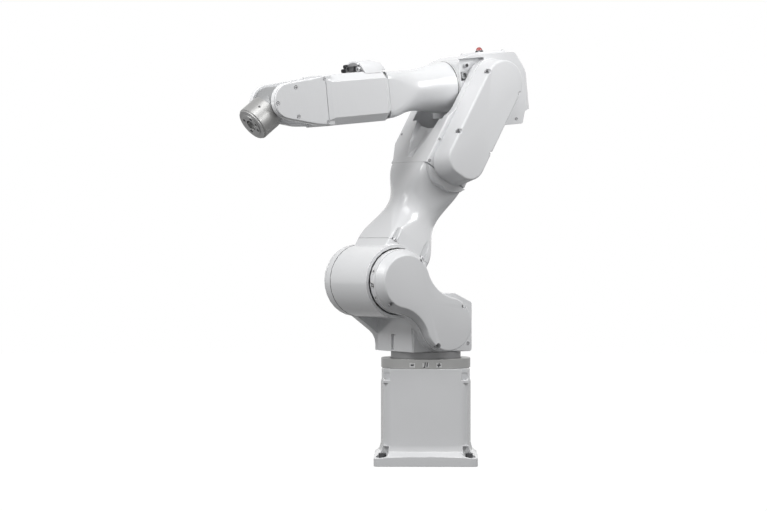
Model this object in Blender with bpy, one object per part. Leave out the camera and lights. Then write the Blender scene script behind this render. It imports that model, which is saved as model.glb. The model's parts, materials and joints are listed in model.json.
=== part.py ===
"""Six-axis robot arm with cast links, belt drives under side covers and a round tool flange.

The arm stands with its base's mounting face on Z = 0 and its base's front towards +X. Each link is
modelled in its own joint's frame, with X forward, Y to the left and Z up, and the joint empties turn it to
the pose it rests in. Lengths are in metres and angles in degrees.
"""

import math

import bmesh
import bpy
from mathutils import Vector

# Clearances
GAP = 0.0003                  # between pieces that are fastened together or pass each other
CUT = 0.002                   # how far a cutter reaches past the wall that it cuts

# Pose at rest
J1_REST = -57.2               # turn of the shoulder on the base
J2_REST = -29.8               # upper arm, leaning back from upright
J3_REST = -35.9               # forearm, below the perpendicular to the upper arm
J5_REST = 32.6                # wrist, bent down from the forearm

# Link lengths
SHOULDER_HEIGHT = 0.320       # J2 axis above the mounting face
SHOULDER_OFFSET = 0.100       # J2 axis in front of the J1 axis
UPPER_ARM_LENGTH = 0.400      # J2 axis to J3 axis
FOREARM_LENGTH = 0.400        # J3 axis to J5 axis
FLANGE_LENGTH = 0.065         # J5 axis to the tool flange's face

# Base
PLATE_SIDE = 0.180
PLATE_THICK = 0.014
PLATE_CORNER = 0.008
BOLT_SPACING = 0.150
BOLT_HOLE_RADIUS = 0.0045
BOLT_POCKET_RADIUS = 0.011
BOLT_POCKET_TOP = 0.034
BOLT_HEAD_RADIUS = 0.0065
BOLT_HEAD_HEIGHT = 0.008
BOLT_SOCKET_RADIUS = 0.0035
COLUMN_SIDE = 0.158
COLUMN_CORNER = 0.017
COLUMN_BULGE = 0.0035         # how far each side swells at its middle
COLUMN_TOP = 0.168
COLUMN_WALL = 0.007
FOOT_FILLET = 0.022
NECK_STEP = 0.0023            # the sides step in by this near the top
NECK_HEIGHT = 0.022           # height of the stepped band
NOTCH_SIDE = 0.017            # corner notches beside the ring
NOTCH_SLOPE = 0.005
DECK_THICK = 0.008
DECK_HOLE_RADIUS = 0.046
PANEL_WIDTH = 0.104
PANEL_BOTTOM = 0.040
PANEL_HEIGHT = 0.100
PANEL_THICK = 0.003
PANEL_RECESS = 0.002
BOTTOM_COVER_THICK = 0.003
CONNECTOR_WALL = 0.0016
CABLE_CONNECTOR = (0.060, 0.026, 0.014)       # width, height and length
CABLE_CONNECTOR_HEIGHT = 0.112                # its middle above the mounting face
USER_CONNECTOR = (0.039, 0.012, 0.006)
USER_CONNECTOR_HEIGHT = 0.080
USER_CONNECTOR_WALL = 0.001
USER_CONNECTOR_LEAN = 10                      # slope of its ends, in degrees
BASE_PORT_HEIGHT = 0.057
BASE_PORT_SPACING = 0.040

# First axis
RING_RADIUS = 0.0787
RING_HEIGHT = 0.0165
RING_BORE = 0.0635
TURNTABLE_RADIUS = 0.0615
RING_EDGE = 0.0008
TURNTABLE_RISE = 0.0115       # how far it stands above the ring
J1_REDUCER_LENGTH = 0.036
J1_REDUCER_FLANGE = 0.0555    # radius of the flange under the deck
J1_REDUCER_FLANGE_THICK = 0.013

# Shoulder casting
SHOULDER_FRONT = 0.066
SHOULDER_REAR = 0.058
SHOULDER_FAR_SIDE = 0.057
SHOULDER_NEAR_SIDE = 0.060
SHOULDER_BACK_TOP = 0.282
SHOULDER_TOP = 0.2986
SHOULDER_RIDGE_FRONT = 0.014  # where the top's flat begins and ends
SHOULDER_RIDGE_REAR = 0.022
SHOULDER_SADDLE = (0.038, 0.287)              # the casting's corner behind the drum
SHOULDER_ROOM_TOP = 0.278
SHOULDER_ROOM_FRONT = 0.0435  # the motor's room stays behind the drum
SHOULDER_ROOM_KNEE = 0.236
LEG_ANKLE = 0.222             # height at which the far leg starts to flare
LEG_ANKLE_RADIUS = 0.030
LEG_KNEE = (0.130, 0.272)     # where the far leg meets the far cheek
SHOULDER_EDGE = 0.005
SHOULDER_WALL = 0.006
CHEEK_RADIUS = 0.0563         # near cheek about J2
CHEEK_OUTER = 0.080           # outer face of the near cheek
FAR_CHEEK_RADIUS = 0.063
FAR_CHEEK_OUTER = 0.071
CAP_THICK = 0.007
FAR_HUB_RADIUS = 0.030
J2_MOTOR_X = 0.014            # J2 motor axis
J2_MOTOR_Z = 0.246
J2_MOTOR_LOBE = 0.0485        # near cheek about the motor axis
J2_WAIST_RADIUS = 0.060       # hollow curve between the two lobes
J2_COVER_OUTER = 0.098
J2_COVER_DRAFT = 0.008        # a cover narrows by this from its seat to its face
COVER_LEDGE = 0.002           # a cover stands in by this from its casting
COVER_WALL = 0.0025
COVER_ROUND = 0.003
SHOULDER_REAR_COVER_THICK = 0.003

# Upper arm
DRUM_RADIUS = 0.064
DRUM_NEAR = 0.066
DRUM_FAR = 0.053
DRUM_WALL = 0.006
ARM_FRONT = 0.046             # the arm's flat sides from its own axis
ARM_REAR = 0.048
ARM_NEAR = 0.057
ARM_FAR = 0.053
ARM_EDGE = 0.008
ARM_WALL = 0.005
LOWER_SPLIT = 0.060           # seams, from J2 along the arm and back from J3
UPPER_SPLIT = UPPER_ARM_LENGTH - 0.190
WAIST_FRONT = 0.043           # the arm at its narrowest, to the front and the far side
WAIST_REAR = 0.0465           # and to the rear and the near side
WAIST_PLACE = 0.135

# Fork at the top of the upper arm
FORK_NEAR_INNER = 0.046
FORK_NEAR_OUTER = 0.062
FORK_FAR_INNER = 0.0503
FORK_FAR_OUTER = 0.075
FORK_FRONT = 0.050
FORK_REAR = 0.043
FORK_TOP = 0.0445             # above J3
FORK_END_RADIUS = 0.042
FORK_EDGE = 0.004
FORK_SADDLE = 0.114           # radius about J3 that the elbow needs
FORK_LIP = UPPER_ARM_LENGTH - math.sqrt(FORK_SADDLE ** 2 - FORK_FRONT ** 2)    # saddle's front edge
CHEEK_FRONT = 0.0425          # near cheek's front beside J3
CHEEK_FLARE = 0.022           # height over which it widens towards the lip
CHEEK_FLARE_RADIUS = 0.040
FORK_SWELL_TOP = UPPER_ARM_LENGTH - 0.142    # where the far cheek reaches its full width
FORK_SWELL_RADIUS = 0.030
FORK_SCOOP_DEPTH = 0.020
FORK_SCOOP_REACH = 0.012      # above the foot and below the saddle
FORK_SCOOP_HALF = 0.034
FORK_SCOOP_BOTTOM = 0.010
J3_MOTOR_DISTANCE = 0.156     # J3 axis to the J3 motor axis
J3_LEDGE_RADIUS = 0.060       # round ledge under the belt cover
J3_COVER_OUTER = 0.103
J3_COVER_RADIUS = 0.0425
J3_COVER_DRAFT = 0.003
J3_COVER_LEAN = 0.0085        # the same at its lower end
J3_COVER_CORNER = 0.031       # radius of its lower corners
J3_FAR_COVER_THICK = 0.008

# Motors, reducers and belt drives
MOTOR_SIDE = 0.056
MOTOR_LENGTH = 0.095
SMALL_MOTOR_SIDE = 0.044
SMALL_MOTOR_LENGTH = 0.080
WRIST_MOTOR_SIDE = 0.040
WRIST_MOTOR_LENGTH = 0.062
MOTOR_CORNER = 0.006
REDUCER_RADIUS = 0.047
J4_REDUCER_RADIUS = 0.034
J3_REDUCER_RADIUS = 0.036
REDUCER_HUB_RADIUS = 0.024
REDUCER_LENGTH = 0.038
J3_REDUCER_LENGTH = 0.032
J4_MOTOR_WALL = 0.0105        # the J4 motor from the elbow's far wall
WEB_THICK = 0.008
WEB_HOLE_RADIUS = 0.018
BELT_WIDTH = 0.009
BELT_THICK = 0.0022
SMALL_PULLEY_RADIUS = 0.013
LARGE_PULLEY_RADIUS = 0.026
PULLEY_TEETH = 14
TOOTH_DEPTH = 0.0012
SHAFT_RADIUS = 0.006
SHAFT_CLEARANCE = 0.002
PULLEY_STANDOFF = 0.0035      # pulley face from the wall behind it

# Elbow
ELBOW_SEAM = 0.060            # J4 seam in front of J3
ELBOW_TOP = 0.0525
ELBOW_BROW = 0.045            # height of the top at the seam
ELBOW_BROW_END = 0.032        # where the top becomes level
ELBOW_REAR = 0.093
ELBOW_SLOPE_TOP = 0.0655      # the rear slopes from here
ELBOW_SLOPE_END = 0.006       # down to this height
ELBOW_STEP = 0.050            # the rear steps in below this
ELBOW_STEP_DEPTH = 0.016
ELBOW_HEEL = 0.070
ELBOW_TOE = 0.018
ELBOW_BOTTOM = 0.076
ELBOW_CHIN = 0.054
ELBOW_EDGE = 0.009
ELBOW_WALL = 0.006
ELBOW_PLAN_EDGE = 0.014
ELBOW_BAY_REAR = 0.074        # the J4 motor's bay ends here
ELBOW_HATCH_LOW = 0.042       # the hatch in the rear reaches from here below J4
ELBOW_HATCH_HIGH = 0.002      # to here above it
RING_PLATE_DEPTH = 0.009
NECK_END_RADIUS = 0.0455
TOP_COVER_FRONT = 0.004
TOP_COVER_REAR = 0.058
TOP_COVER_WIDTH = 0.066
TOP_COVER_THICK = 0.004
LAMP_BACK = 0.036
LAMP_SIDE = 0.022
LAMP_RADIUS = 0.0058
LAMP_RING_RADIUS = 0.0072
LAMP_RING_HEIGHT = 0.0035
PORT_RADIUS = 0.0042
PORT_BORE = 0.0022
PORT_LENGTH = 0.006
POCKET_FLOOR = 0.0365         # seat of the fittings in the elbow's side
POCKET_LOW = 0.009
POCKET_HIGH = 0.047
ROUND_CONNECTOR_RADIUS = 0.0068
ROUND_CONNECTOR_LENGTH = 0.0085
ELBOW_PORT_X = 0.037
ELBOW_PORT_Z = 0.035
ELBOW_CONNECTOR_X = 0.0452
ELBOW_CONNECTOR_Z = 0.018

# Forearm, whose places are measured back from J5
NECK_WAIST_RADIUS = 0.036
NECK_WAIST_PLACE = FOREARM_LENGTH - 0.268
NECK_END = FOREARM_LENGTH - 0.200
NECK_SQUARE = 0.0405          # half the neck's square end
NECK_WALL = 0.005
BODY_HALF_WIDTH = 0.0475
BODY_HALF_HEIGHT = 0.0435
BODY_DROP = 0.0045            # the body's middle lies this far below the J4 axis
BODY_CHAMFER = 0.013
NECK_CHAMFER = 0.014
BODY_COLLAR = 0.010
BODY_FRONT = FOREARM_LENGTH - 0.084
BODY_SLANT = 0.012
BODY_WALL = 0.004
TINE_OUTER = 0.0425
TINE_INNER = 0.0323
TINE_WALL = 0.0025
TINE_END_RADIUS = 0.031
TINE_SHOULDER = FOREARM_LENGTH - 0.048       # where the fork's edges start to taper
TINE_TAPER = 0.003
TINE_STEP = 0.001             # the fork is this much lower than the body at its top and bottom
WRIST_SLOT = 0.074            # depth of the fork's slot behind J5
SIDE_COVER_THICK = 0.003
WRIST_MOTOR_1 = FOREARM_LENGTH - 0.114       # the wrist motors' axes
WRIST_MOTOR_2 = FOREARM_LENGTH - 0.162
WRIST_SMALL_PULLEY = 0.009
WRIST_LARGE_PULLEY = 0.017
WRIST_BELT_WIDTH = 0.005
WRIST_BELT_THICK = 0.0016
WRIST_BELT_STANDOFF = 0.001   # belt from the wall behind it
DOME_FRONT = FOREARM_LENGTH - 0.156
DOME_LENGTH = 0.058
DOME_STRAIGHT = 0.030         # how far back the dome keeps its full height
DOME_HALF_WIDTH = 0.040
DOME_HALF_HEIGHT = 0.029
DOME_SINK = 0.009             # the middle of its oval lies this far below the body's roof
DOME_SKIRT = 0.006            # its sides reach down this far below the roof
DOME_TAIL_SHARES = (0.0, 0.5, 0.8, 0.97)
DOME_PORTS = ((-0.0205, 0.0115), (-0.0285, 0.0047))    # across, and above the roof

# Wrist and tool flange
WRIST_RADIUS = 0.027
WRIST_HALF_WIDTH = 0.0318
WRIST_NOSE = 0.0268
FLANGE_RADIUS = 0.0305
FLANGE_FACE_RADIUS = 0.0285
FLANGE_STEP = 0.0045
FLANGE_BORE = 0.010
FLANGE_BORE_DEPTH = 0.006
FLANGE_BOSS_RADIUS = 0.020
FLANGE_BOSS_HEIGHT = 0.0015
FLANGE_PITCH_RADIUS = 0.01575
FLANGE_HOLE_RADIUS = 0.00215
FLANGE_HOLE_DEPTH = 0.008
DOWEL_RADIUS = 0.0025

# Roundness
FINE = 12                     # degrees to a facet on large round forms
PLAIN = 15
COARSE = 24
LOBE_STEPS = 16               # facets of a cover's lobe and of the hollow beside it
HOLLOW_STEPS = 5
CORNER_STEPS = 4              # facets of each round corner of a link's section
SWELL_STEPS = 4               # facets of each swollen side of the column
OUTER_RINGS = (0.0, 0.08, 0.25, 0.5, 0.75, 1.0)    # a neck's sections between its end and its waist
INNER_RINGS = (0.0, 0.3, 0.65, 1.0)

# Heights and places that follow
RING_BOTTOM = COLUMN_TOP + GAP
RING_TOP = RING_BOTTOM + RING_HEIGHT
TURNTABLE_TOP = RING_TOP + TURNTABLE_RISE
SHOULDER_BOTTOM = TURNTABLE_TOP + GAP
J1_REDUCER_LOW = COLUMN_TOP - DECK_THICK - GAP - J1_REDUCER_LENGTH
PANEL_OUTER = PANEL_RECESS - COLUMN_SIDE / 2
J2_AXIS = (SHOULDER_OFFSET, SHOULDER_HEIGHT)
J2_MOTOR = (J2_MOTOR_X, J2_MOTOR_Z)
J3_AXIS = (0.0, UPPER_ARM_LENGTH)
J3_MOTOR = (0.0, UPPER_ARM_LENGTH - J3_MOTOR_DISTANCE)
J2_COVER_INNER = CHEEK_OUTER + GAP
J3_COVER_INNER = FORK_NEAR_OUTER + GAP
J2_MOTOR_FACE = SHOULDER_NEAR_SIDE - SHOULDER_WALL
J2_BELT_LOW = CHEEK_OUTER + PULLEY_STANDOFF
J3_BELT_LOW = FORK_NEAR_OUTER + PULLEY_STANDOFF
J2_WEB = DRUM_NEAR - REDUCER_LENGTH - WEB_THICK     # far face of the web that the reducer turns
J3_WEB = FORK_NEAR_INNER - J3_REDUCER_LENGTH - WEB_THICK
BODY_TOP = BODY_HALF_HEIGHT - BODY_DROP
J4_MOTOR_FAR = ELBOW_WALL + J4_MOTOR_WALL - FORK_FAR_INNER
WRIST_BELT_LOW = TINE_INNER + TINE_WALL + WRIST_BELT_STANDOFF


def clear_scene():
    for obj in list(bpy.data.objects):
        bpy.data.objects.remove(obj, do_unlink=True)


def paint(name, colour, roughness, metallic=0.0):
    """A Principled material in one linear colour."""
    material = bpy.data.materials.new(name)
    material.use_nodes = True
    shader = material.node_tree.nodes["Principled BSDF"]
    shader.inputs["Base Color"].default_value = (*colour, 1.0)
    shader.inputs["Roughness"].default_value = roughness
    shader.inputs["Metallic"].default_value = metallic
    return material


def joint(name, place, turn, parent=None):
    """An empty on a joint's axis. turn holds its Euler angles in degrees."""
    empty = bpy.data.objects.new(name, None)
    empty.empty_display_size = 0.05
    empty.location = place
    empty.rotation_euler = [math.radians(angle) for angle in turn]
    empty.parent = parent
    bpy.context.collection.objects.link(empty)
    return empty


def arc(centre, radius, start, end, step=PLAIN):
    """Points of an arc from start to end, both in degrees and both included."""
    count = max(2, math.ceil(round(abs(end - start) / step, 2)))
    angles = [math.radians(start + (end - start) * i / count) for i in range(count + 1)]
    return [(centre[0] + radius * math.cos(a), centre[1] + radius * math.sin(a)) for a in angles]


def circle(centre, radius, step=PLAIN):
    return arc(centre, radius, 0, 360, step)[:-1]


def facets(step):
    return math.ceil(360 / step)


def around(radius, step):
    """Radius of a faceted bore that a turning piece of this radius passes through."""
    return radius / math.cos(math.pi / facets(step)) + GAP


def rounded(corners, step=PLAIN):
    """Outline through (u, v, radius) corners, each turned by an arc of its radius."""
    points = []
    for i, (u, v, radius) in enumerate(corners):
        here = Vector((u, v))
        back = (Vector(corners[i - 1][:2]) - here).normalized()
        ahead = (Vector(corners[(i + 1) % len(corners)][:2]) - here).normalized()
        half = back.angle(ahead) / 2
        if radius <= 0 or half > math.radians(89.9):
            points.append((u, v))
            continue
        centre = here + (back + ahead).normalized() * radius / math.sin(half)
        first = here + back * radius / math.tan(half) - centre
        last = here + ahead * radius / math.tan(half) - centre
        start = math.degrees(math.atan2(first.y, first.x))
        sweep = math.degrees(math.atan2(last.y, last.x)) - start
        sweep = (sweep + 180) % 360 - 180
        points += arc(centre, radius, start, start + sweep, step)
    return points


def rectangle(low_u, low_v, high_u, high_v, radius=0.0, step=PLAIN):
    corners = [(low_u, low_v), (high_u, low_v), (high_u, high_v), (low_u, high_v)]
    return rounded([(u, v, radius) for u, v in corners], step)


def bulged_square(side, corner, bulge, step=PLAIN):
    """A square with round corners whose sides swell outwards by bulge, as arcs."""
    half = side / 2 - bulge
    flat = half - corner
    swell = (flat * flat + bulge * bulge) / (2 * bulge)
    reach = math.degrees(math.asin(flat / swell))
    points = []
    for quarter in range(4):
        turn = 90 * quarter
        facing = Vector((math.cos(math.radians(turn)), math.sin(math.radians(turn))))
        across = Vector((-facing.y, facing.x))
        middle = facing * (half + bulge - swell)
        points += arc(middle, swell, turn - reach, turn + reach, 2 * reach / SWELL_STEPS)
        knee = facing * flat + across * flat
        points += arc(knee, corner, turn, turn + 90, step)[1:-1]
    return points


def direction(start, end):
    return math.degrees(math.atan2(end[1] - start[1], end[0] - start[0]))


def spread(start, end):
    return math.hypot(end[0] - start[0], end[1] - start[1])


def swept(centre, radius, start, sweep, count):
    """Points of an arc in a fixed number of steps, with both ends."""
    angles = [math.radians(start + sweep * i / count) for i in range(count + 1)]
    return [(centre[0] + radius * math.cos(a), centre[1] + radius * math.sin(a)) for a in angles]


def waisted(first, first_radius, second, second_radius, waist):
    """Outline of two round lobes joined by hollow arcs of radius waist on both sides. It has the same
    number of points at every size."""
    length = spread(first, second)
    heading = direction(first, second)
    near, far = first_radius + waist, second_radius + waist
    lift = math.degrees(math.acos((near * near + length * length - far * far) / (2 * near * length)))

    def hollow(side):
        angle = math.radians(heading + side * lift)
        return (first[0] + near * math.cos(angle), first[1] + near * math.sin(angle))

    left, right = hollow(1), hollow(-1)
    around_first = swept(first, first_radius, heading + lift, 360 - 2 * lift, LOBE_STEPS)
    from_first = direction(right, first)
    right_sweep = (direction(right, second) - from_first + 180) % 360 - 180
    right_arc = swept(right, waist, from_first, right_sweep, HOLLOW_STEPS)[1:-1]
    start = direction(second, right)
    around_second = swept(second, second_radius, start, (direction(second, left) - start) % 360, LOBE_STEPS)
    from_second = direction(left, second)
    left_sweep = (direction(left, first) - from_second + 180) % 360 - 180
    left_arc = swept(left, waist, from_second, left_sweep, HOLLOW_STEPS)[1:-1]
    return around_first + right_arc + around_second + left_arc


def banded(first, first_radius, second, second_radius, step=PLAIN):
    """Outline of a band drawn tight round two circles."""
    heading = direction(first, second)
    lift = math.degrees(math.acos((first_radius - second_radius) / spread(first, second)))
    around_first = arc(first, first_radius, heading + lift, heading + 360 - lift, step)
    around_second = arc(second, second_radius, heading - lift, heading + lift, step)
    return around_first + around_second


def toothed(centre, radius, teeth, depth):
    """Outline of a belt pulley: flat-topped teeth with a pointed root between them."""
    points = []
    pitch = 360 / teeth
    for tooth in range(teeth):
        for share, reach in ((0.0, radius - depth), (0.3, radius), (0.7, radius)):
            angle = math.radians(pitch * (tooth + share))
            points.append((centre[0] + reach * math.cos(angle), centre[1] + reach * math.sin(angle)))
    return points


def placed(u, v, w, along):
    """A point of an outline (u, v), at w along its axis."""
    if along == "X":
        return (w, u, v)
    if along == "Y":
        return (u, w, v)
    return (u, v, w)


def finish(bm, name):
    bmesh.ops.remove_doubles(bm, verts=bm.verts, dist=1e-6)
    bmesh.ops.recalc_face_normals(bm, faces=bm.faces)
    mesh = bpy.data.meshes.new(name)
    bm.to_mesh(mesh)
    bm.free()
    obj = bpy.data.objects.new(name, mesh)
    bpy.context.collection.objects.link(obj)
    return obj


def prism(outline, low, high, along, rim=0.0, rim_steps=3, both=False):
    """An outline extruded from low to high along an axis. rim rounds the edge of the high end, or, where it
    is negative, of the low end, and both rounds the two."""
    bm = bmesh.new()
    face = bm.faces.new([bm.verts.new(placed(u, v, low, along)) for u, v in outline])
    pushed = bmesh.ops.extrude_face_region(bm, geom=[face])
    moved = [item for item in pushed["geom"] if isinstance(item, bmesh.types.BMVert)]
    travel = Vector(placed(0, 0, high - low, along))
    bmesh.ops.translate(bm, verts=moved, vec=travel)
    if rim:
        high_end, low_end = set(moved), set(bm.verts) - set(moved)
        ends = [high_end, low_end] if both else [high_end if rim > 0 else low_end]
        edges = [edge for edge in bm.edges if any(set(edge.verts) <= end for end in ends)]
        bmesh.ops.bevel(bm, geom=edges, offset=abs(rim), segments=rim_steps, profile=0.5, affect="EDGES",
                        clamp_overlap=True)
    return finish(bm, "prism")


def turned(profile, along, centre=(0.0, 0.0), step=PLAIN):
    """A profile of (radius, height) points revolved about an axis through centre. A profile that starts and
    ends on the axis is solid, and any other closes on itself as a ring."""
    bm = bmesh.new()
    verts = [bm.verts.new((radius, 0.0, height)) for radius, height in profile]
    ring = profile[0][0] > 0 or profile[-1][0] > 0
    ends = list(zip(verts, verts[1:] + verts[:1])) if ring else list(zip(verts, verts[1:]))
    edges = [bm.edges.new(pair) for pair in ends]
    bmesh.ops.spin(bm, geom=verts + edges, cent=(0, 0, 0), axis=(0, 0, 1), angle=math.tau, steps=facets(step),
                   use_merge=True)
    for vert in bm.verts:
        u, v, w = vert.co
        vert.co = placed(u + centre[0], v + centre[1], w, along)
    return finish(bm, "turned")


def disc(centre, radius, low, high, along, step=PLAIN):
    return prism(circle(centre, radius, step), low, high, along)


def box(low, high, radius=0.0):
    """A block between two corners, with upright edges of the given radius."""
    outline = rectangle(low[0], low[1], high[0], high[1], radius)
    return prism(outline, low[2], high[2], "Z")


def loft(sections):
    """Rings of points of one length, skinned in order and capped at both ends."""
    bm = bmesh.new()
    rings = [[bm.verts.new(point) for point in section] for section in sections]
    for before, after in zip(rings, rings[1:]):
        for i in range(len(before)):
            j = (i + 1) % len(before)
            bm.faces.new((before[i], before[j], after[j], after[i]))
    bm.faces.new(list(reversed(rings[0])))
    bm.faces.new(rings[-1])
    return finish(bm, "loft")


def combine(operation, target, tools):
    for tool in tools:
        modifier = target.modifiers.new("combine", "BOOLEAN")
        modifier.operation = operation
        modifier.solver = "EXACT"
        modifier.object = tool
        graph = bpy.context.evaluated_depsgraph_get()
        result = bpy.data.meshes.new_from_object(target.evaluated_get(graph))
        target.modifiers.clear()
        target.data = result
        bpy.data.objects.remove(tool, do_unlink=True)
    return target


def join(target, *tools):
    return combine("UNION", target, tools)


def cut(target, *tools):
    return combine("DIFFERENCE", target, tools)


def keep(target, tool):
    return combine("INTERSECT", target, [tool])


def part(name, obj, parent, material):
    """Names a finished piece, gives it its material and hangs it on its joint."""
    obj.name = name
    obj.data.name = name
    obj.data.materials.clear()
    obj.data.materials.append(material)
    obj.data.shade_smooth()
    obj.data.set_sharp_from_angle(angle=math.radians(32))
    obj.parent = parent
    return obj


def offset_square(grow):
    """The column's outline, moved outwards by grow."""
    return bulged_square(COLUMN_SIDE + 2 * grow, COLUMN_CORNER + grow, COLUMN_BULGE, COARSE)


def bolt_places():
    half = BOLT_SPACING / 2
    return [(u * half, v * half) for u, v in ((1, 1), (-1, 1), (-1, -1), (1, -1))]


def base_casting():
    """The column with its flared foot, cut to the square plate, and hollow from below."""
    foot = PLATE_THICK + FOOT_FILLET
    sections = []
    for turn in range(0, 91, 30):
        angle = math.radians(turn)
        grow = FOOT_FILLET * (1 - math.sin(angle))
        height = foot - FOOT_FILLET * math.cos(angle)
        sections.append([(u, v, height) for u, v in offset_square(grow)])
    sections.append([(u, v, COLUMN_TOP) for u, v in offset_square(0)])
    wide = PLATE_SIDE / 2 + FOOT_FILLET
    body = join(loft(sections), box((-wide, -wide, 0), (wide, wide, PLATE_THICK + CUT / 4)))
    half = PLATE_SIDE / 2
    plate = rectangle(-half, -half, half, half, PLATE_CORNER, COARSE)
    keep(body, prism(plate, -CUT, COLUMN_TOP + CUT, "Z"))

    inner = COLUMN_SIDE / 2 - COLUMN_WALL
    cavity = rectangle(-inner, -inner, inner, inner, COLUMN_CORNER - COLUMN_WALL / 2)
    cut(body, prism(cavity, -CUT, COLUMN_TOP - DECK_THICK, "Z"))
    cut(body, disc((0, 0), DECK_HOLE_RADIUS, COLUMN_TOP - DECK_THICK - CUT, COLUMN_TOP + CUT, "Z"))
    for place in bolt_places():
        cut(body, disc(place, BOLT_POCKET_RADIUS, PLATE_THICK, BOLT_POCKET_TOP, "Z"))
        cut(body, disc(place, BOLT_HOLE_RADIUS, -CUT, PLATE_THICK + CUT, "Z", COARSE))

    side = COLUMN_SIDE / 2
    band = COLUMN_TOP - NECK_HEIGHT
    for turn in (-1, 1):
        low, high = sorted((turn * (side - NECK_STEP), turn * (side + CUT)))
        cut(body, box((-side - CUT, low, band), (side + CUT, high, COLUMN_TOP + CUT)))
    for u, v in bolt_places():
        cut(body, corner_notch(math.copysign(1, u), math.copysign(1, v), side, band))
    reach = PANEL_WIDTH / 2
    window = rectangle(-reach, PANEL_BOTTOM, reach, PANEL_BOTTOM + PANEL_HEIGHT, BOLT_HOLE_RADIUS, COARSE)
    return cut(body, prism(window, -side - CUT, -inner + CUT, "X"))


def corner_notch(way_u, way_v, side, floor):
    """A wedge over one corner of the column. Its floor falls towards the outside."""
    inner = side - NOTCH_SIDE
    outer = side + CUT
    top = COLUMN_TOP + CUT
    profile = [(inner, floor + NOTCH_SLOPE), (outer, floor), (outer, top), (inner, top)]
    low, high = sorted((way_v * inner, way_v * outer))
    return prism([(way_u * u, w) for u, w in profile], low, high, "Y")


def bottom_cover():
    inner = COLUMN_SIDE / 2 - COLUMN_WALL - GAP
    outline = rectangle(-inner, -inner, inner, inner, COLUMN_CORNER - COLUMN_WALL / 2)
    return prism(outline, 0, BOTTOM_COVER_THICK, "Z")


def socket_bolt(place):
    """A socket head bolt whose shank fills its hole down to the plate's underside."""
    seat = PLATE_THICK + GAP
    top = seat + BOLT_HEAD_HEIGHT
    shank = BOLT_HOLE_RADIUS - 2 * GAP
    head = BOLT_HEAD_RADIUS
    bolt = turned([(0, CUT), (shank, CUT), (shank, seat), (head, seat), (head, top - GAP), (head - GAP, top),
                   (0, top)], "Z", place, COARSE)
    return cut(bolt, disc(place, BOLT_SOCKET_RADIUS, top - BOLT_HEAD_HEIGHT / 2, top + CUT, "Z", 60))


def j1_motor():
    """Stands on the bottom cover and reaches up to the reducer."""
    half = MOTOR_SIDE / 2
    low = BOTTOM_COVER_THICK + GAP
    return prism(rectangle(-half, -half, half, half, MOTOR_CORNER, COARSE), low, J1_REDUCER_LOW - GAP, "Z")


def j1_reducer():
    """A flanged ring gear housing under the deck. Its hub passes through the deck to the turntable."""
    deck = COLUMN_TOP - DECK_THICK - GAP
    flange = deck - J1_REDUCER_FLANGE_THICK
    hub = DECK_HOLE_RADIUS * math.cos(math.radians(PLAIN / 2)) - GAP
    return turned([(0, J1_REDUCER_LOW), (REDUCER_RADIUS, J1_REDUCER_LOW), (REDUCER_RADIUS, flange),
                   (J1_REDUCER_FLANGE, flange), (J1_REDUCER_FLANGE, deck), (hub, deck), (hub, RING_BOTTOM),
                   (0, RING_BOTTOM)], "Z")


def j1_ring():
    return turned([(RING_BORE, RING_BOTTOM), (RING_RADIUS, RING_BOTTOM), (RING_RADIUS, RING_TOP - RING_EDGE),
                   (RING_RADIUS - RING_EDGE, RING_TOP), (RING_BORE, RING_TOP)], "Z", step=FINE)


def connector_panel():
    reach = PANEL_WIDTH / 2 - GAP
    low, high = PANEL_BOTTOM + GAP, PANEL_BOTTOM + PANEL_HEIGHT - GAP
    outline = rectangle(-reach, low, reach, high, BOLT_HOLE_RADIUS, COARSE)
    return prism(outline, PANEL_OUTER, PANEL_OUTER + PANEL_THICK, "X")


def square_connector(height, size):
    """A plug socket with an open mouth, standing out of the rear panel at a height."""
    wall = CONNECTOR_WALL
    seat = PANEL_OUTER - GAP
    half, rise, length = size[0] / 2, size[1] / 2, size[2]
    shell = rectangle(-half, height - rise, half, height + rise, wall, COARSE)
    mouth = rectangle(wall - half, height - rise + wall, half - wall, height + rise - wall)
    socket = prism(mouth, seat - length - CUT, seat - 2 * wall, "X")
    return cut(prism(shell, seat - length, seat, "X"), socket)


def trapezoid_connector(height, size):
    """A D-shaped metal shell with an open mouth, standing out of the rear panel at a height."""
    wall = USER_CONNECTOR_WALL
    seat = PANEL_OUTER - GAP
    half, rise, length = size[0] / 2, size[1] / 2, size[2]
    lean = size[1] * math.tan(math.radians(USER_CONNECTOR_LEAN))

    def shape(inset):
        low, high = height - rise + inset, height + rise - inset
        narrow, wide = half - lean - inset, half - inset
        corners = [(-narrow, low, wall), (narrow, low, wall), (wide, high, wall), (-wide, high, wall)]
        return rounded(corners, COARSE)

    socket = prism(shape(wall), seat - length - CUT, seat - 2 * wall, "X")
    return cut(prism(shape(0), seat - length, seat, "X"), socket)


def push_in_port(along, centre, seat, way):
    """A push-in air fitting: a hexagon body at its seat, and a release ring round its bore."""
    body = seat + way * PORT_LENGTH * 0.6
    end = seat + way * PORT_LENGTH
    flat = prism(circle(centre, PORT_RADIUS, 60), min(seat, body), max(seat, body), along)
    low, high = sorted((body - way * CUT / 4, end))
    join(flat, disc(centre, PORT_RADIUS * 0.8, low, high, along, COARSE))
    low, high = sorted((body, end + way * CUT))
    return cut(flat, disc(centre, PORT_BORE, low, high, along, COARSE))


def turntable():
    """The reducer's output flange, inside the ring. The shoulder is bolted on it."""
    low = RING_BOTTOM + GAP
    radius = TURNTABLE_RADIUS
    return turned([(0, low), (radius, low), (radius, TURNTABLE_TOP), (0, TURNTABLE_TOP)], "Z", step=FINE)


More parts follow.
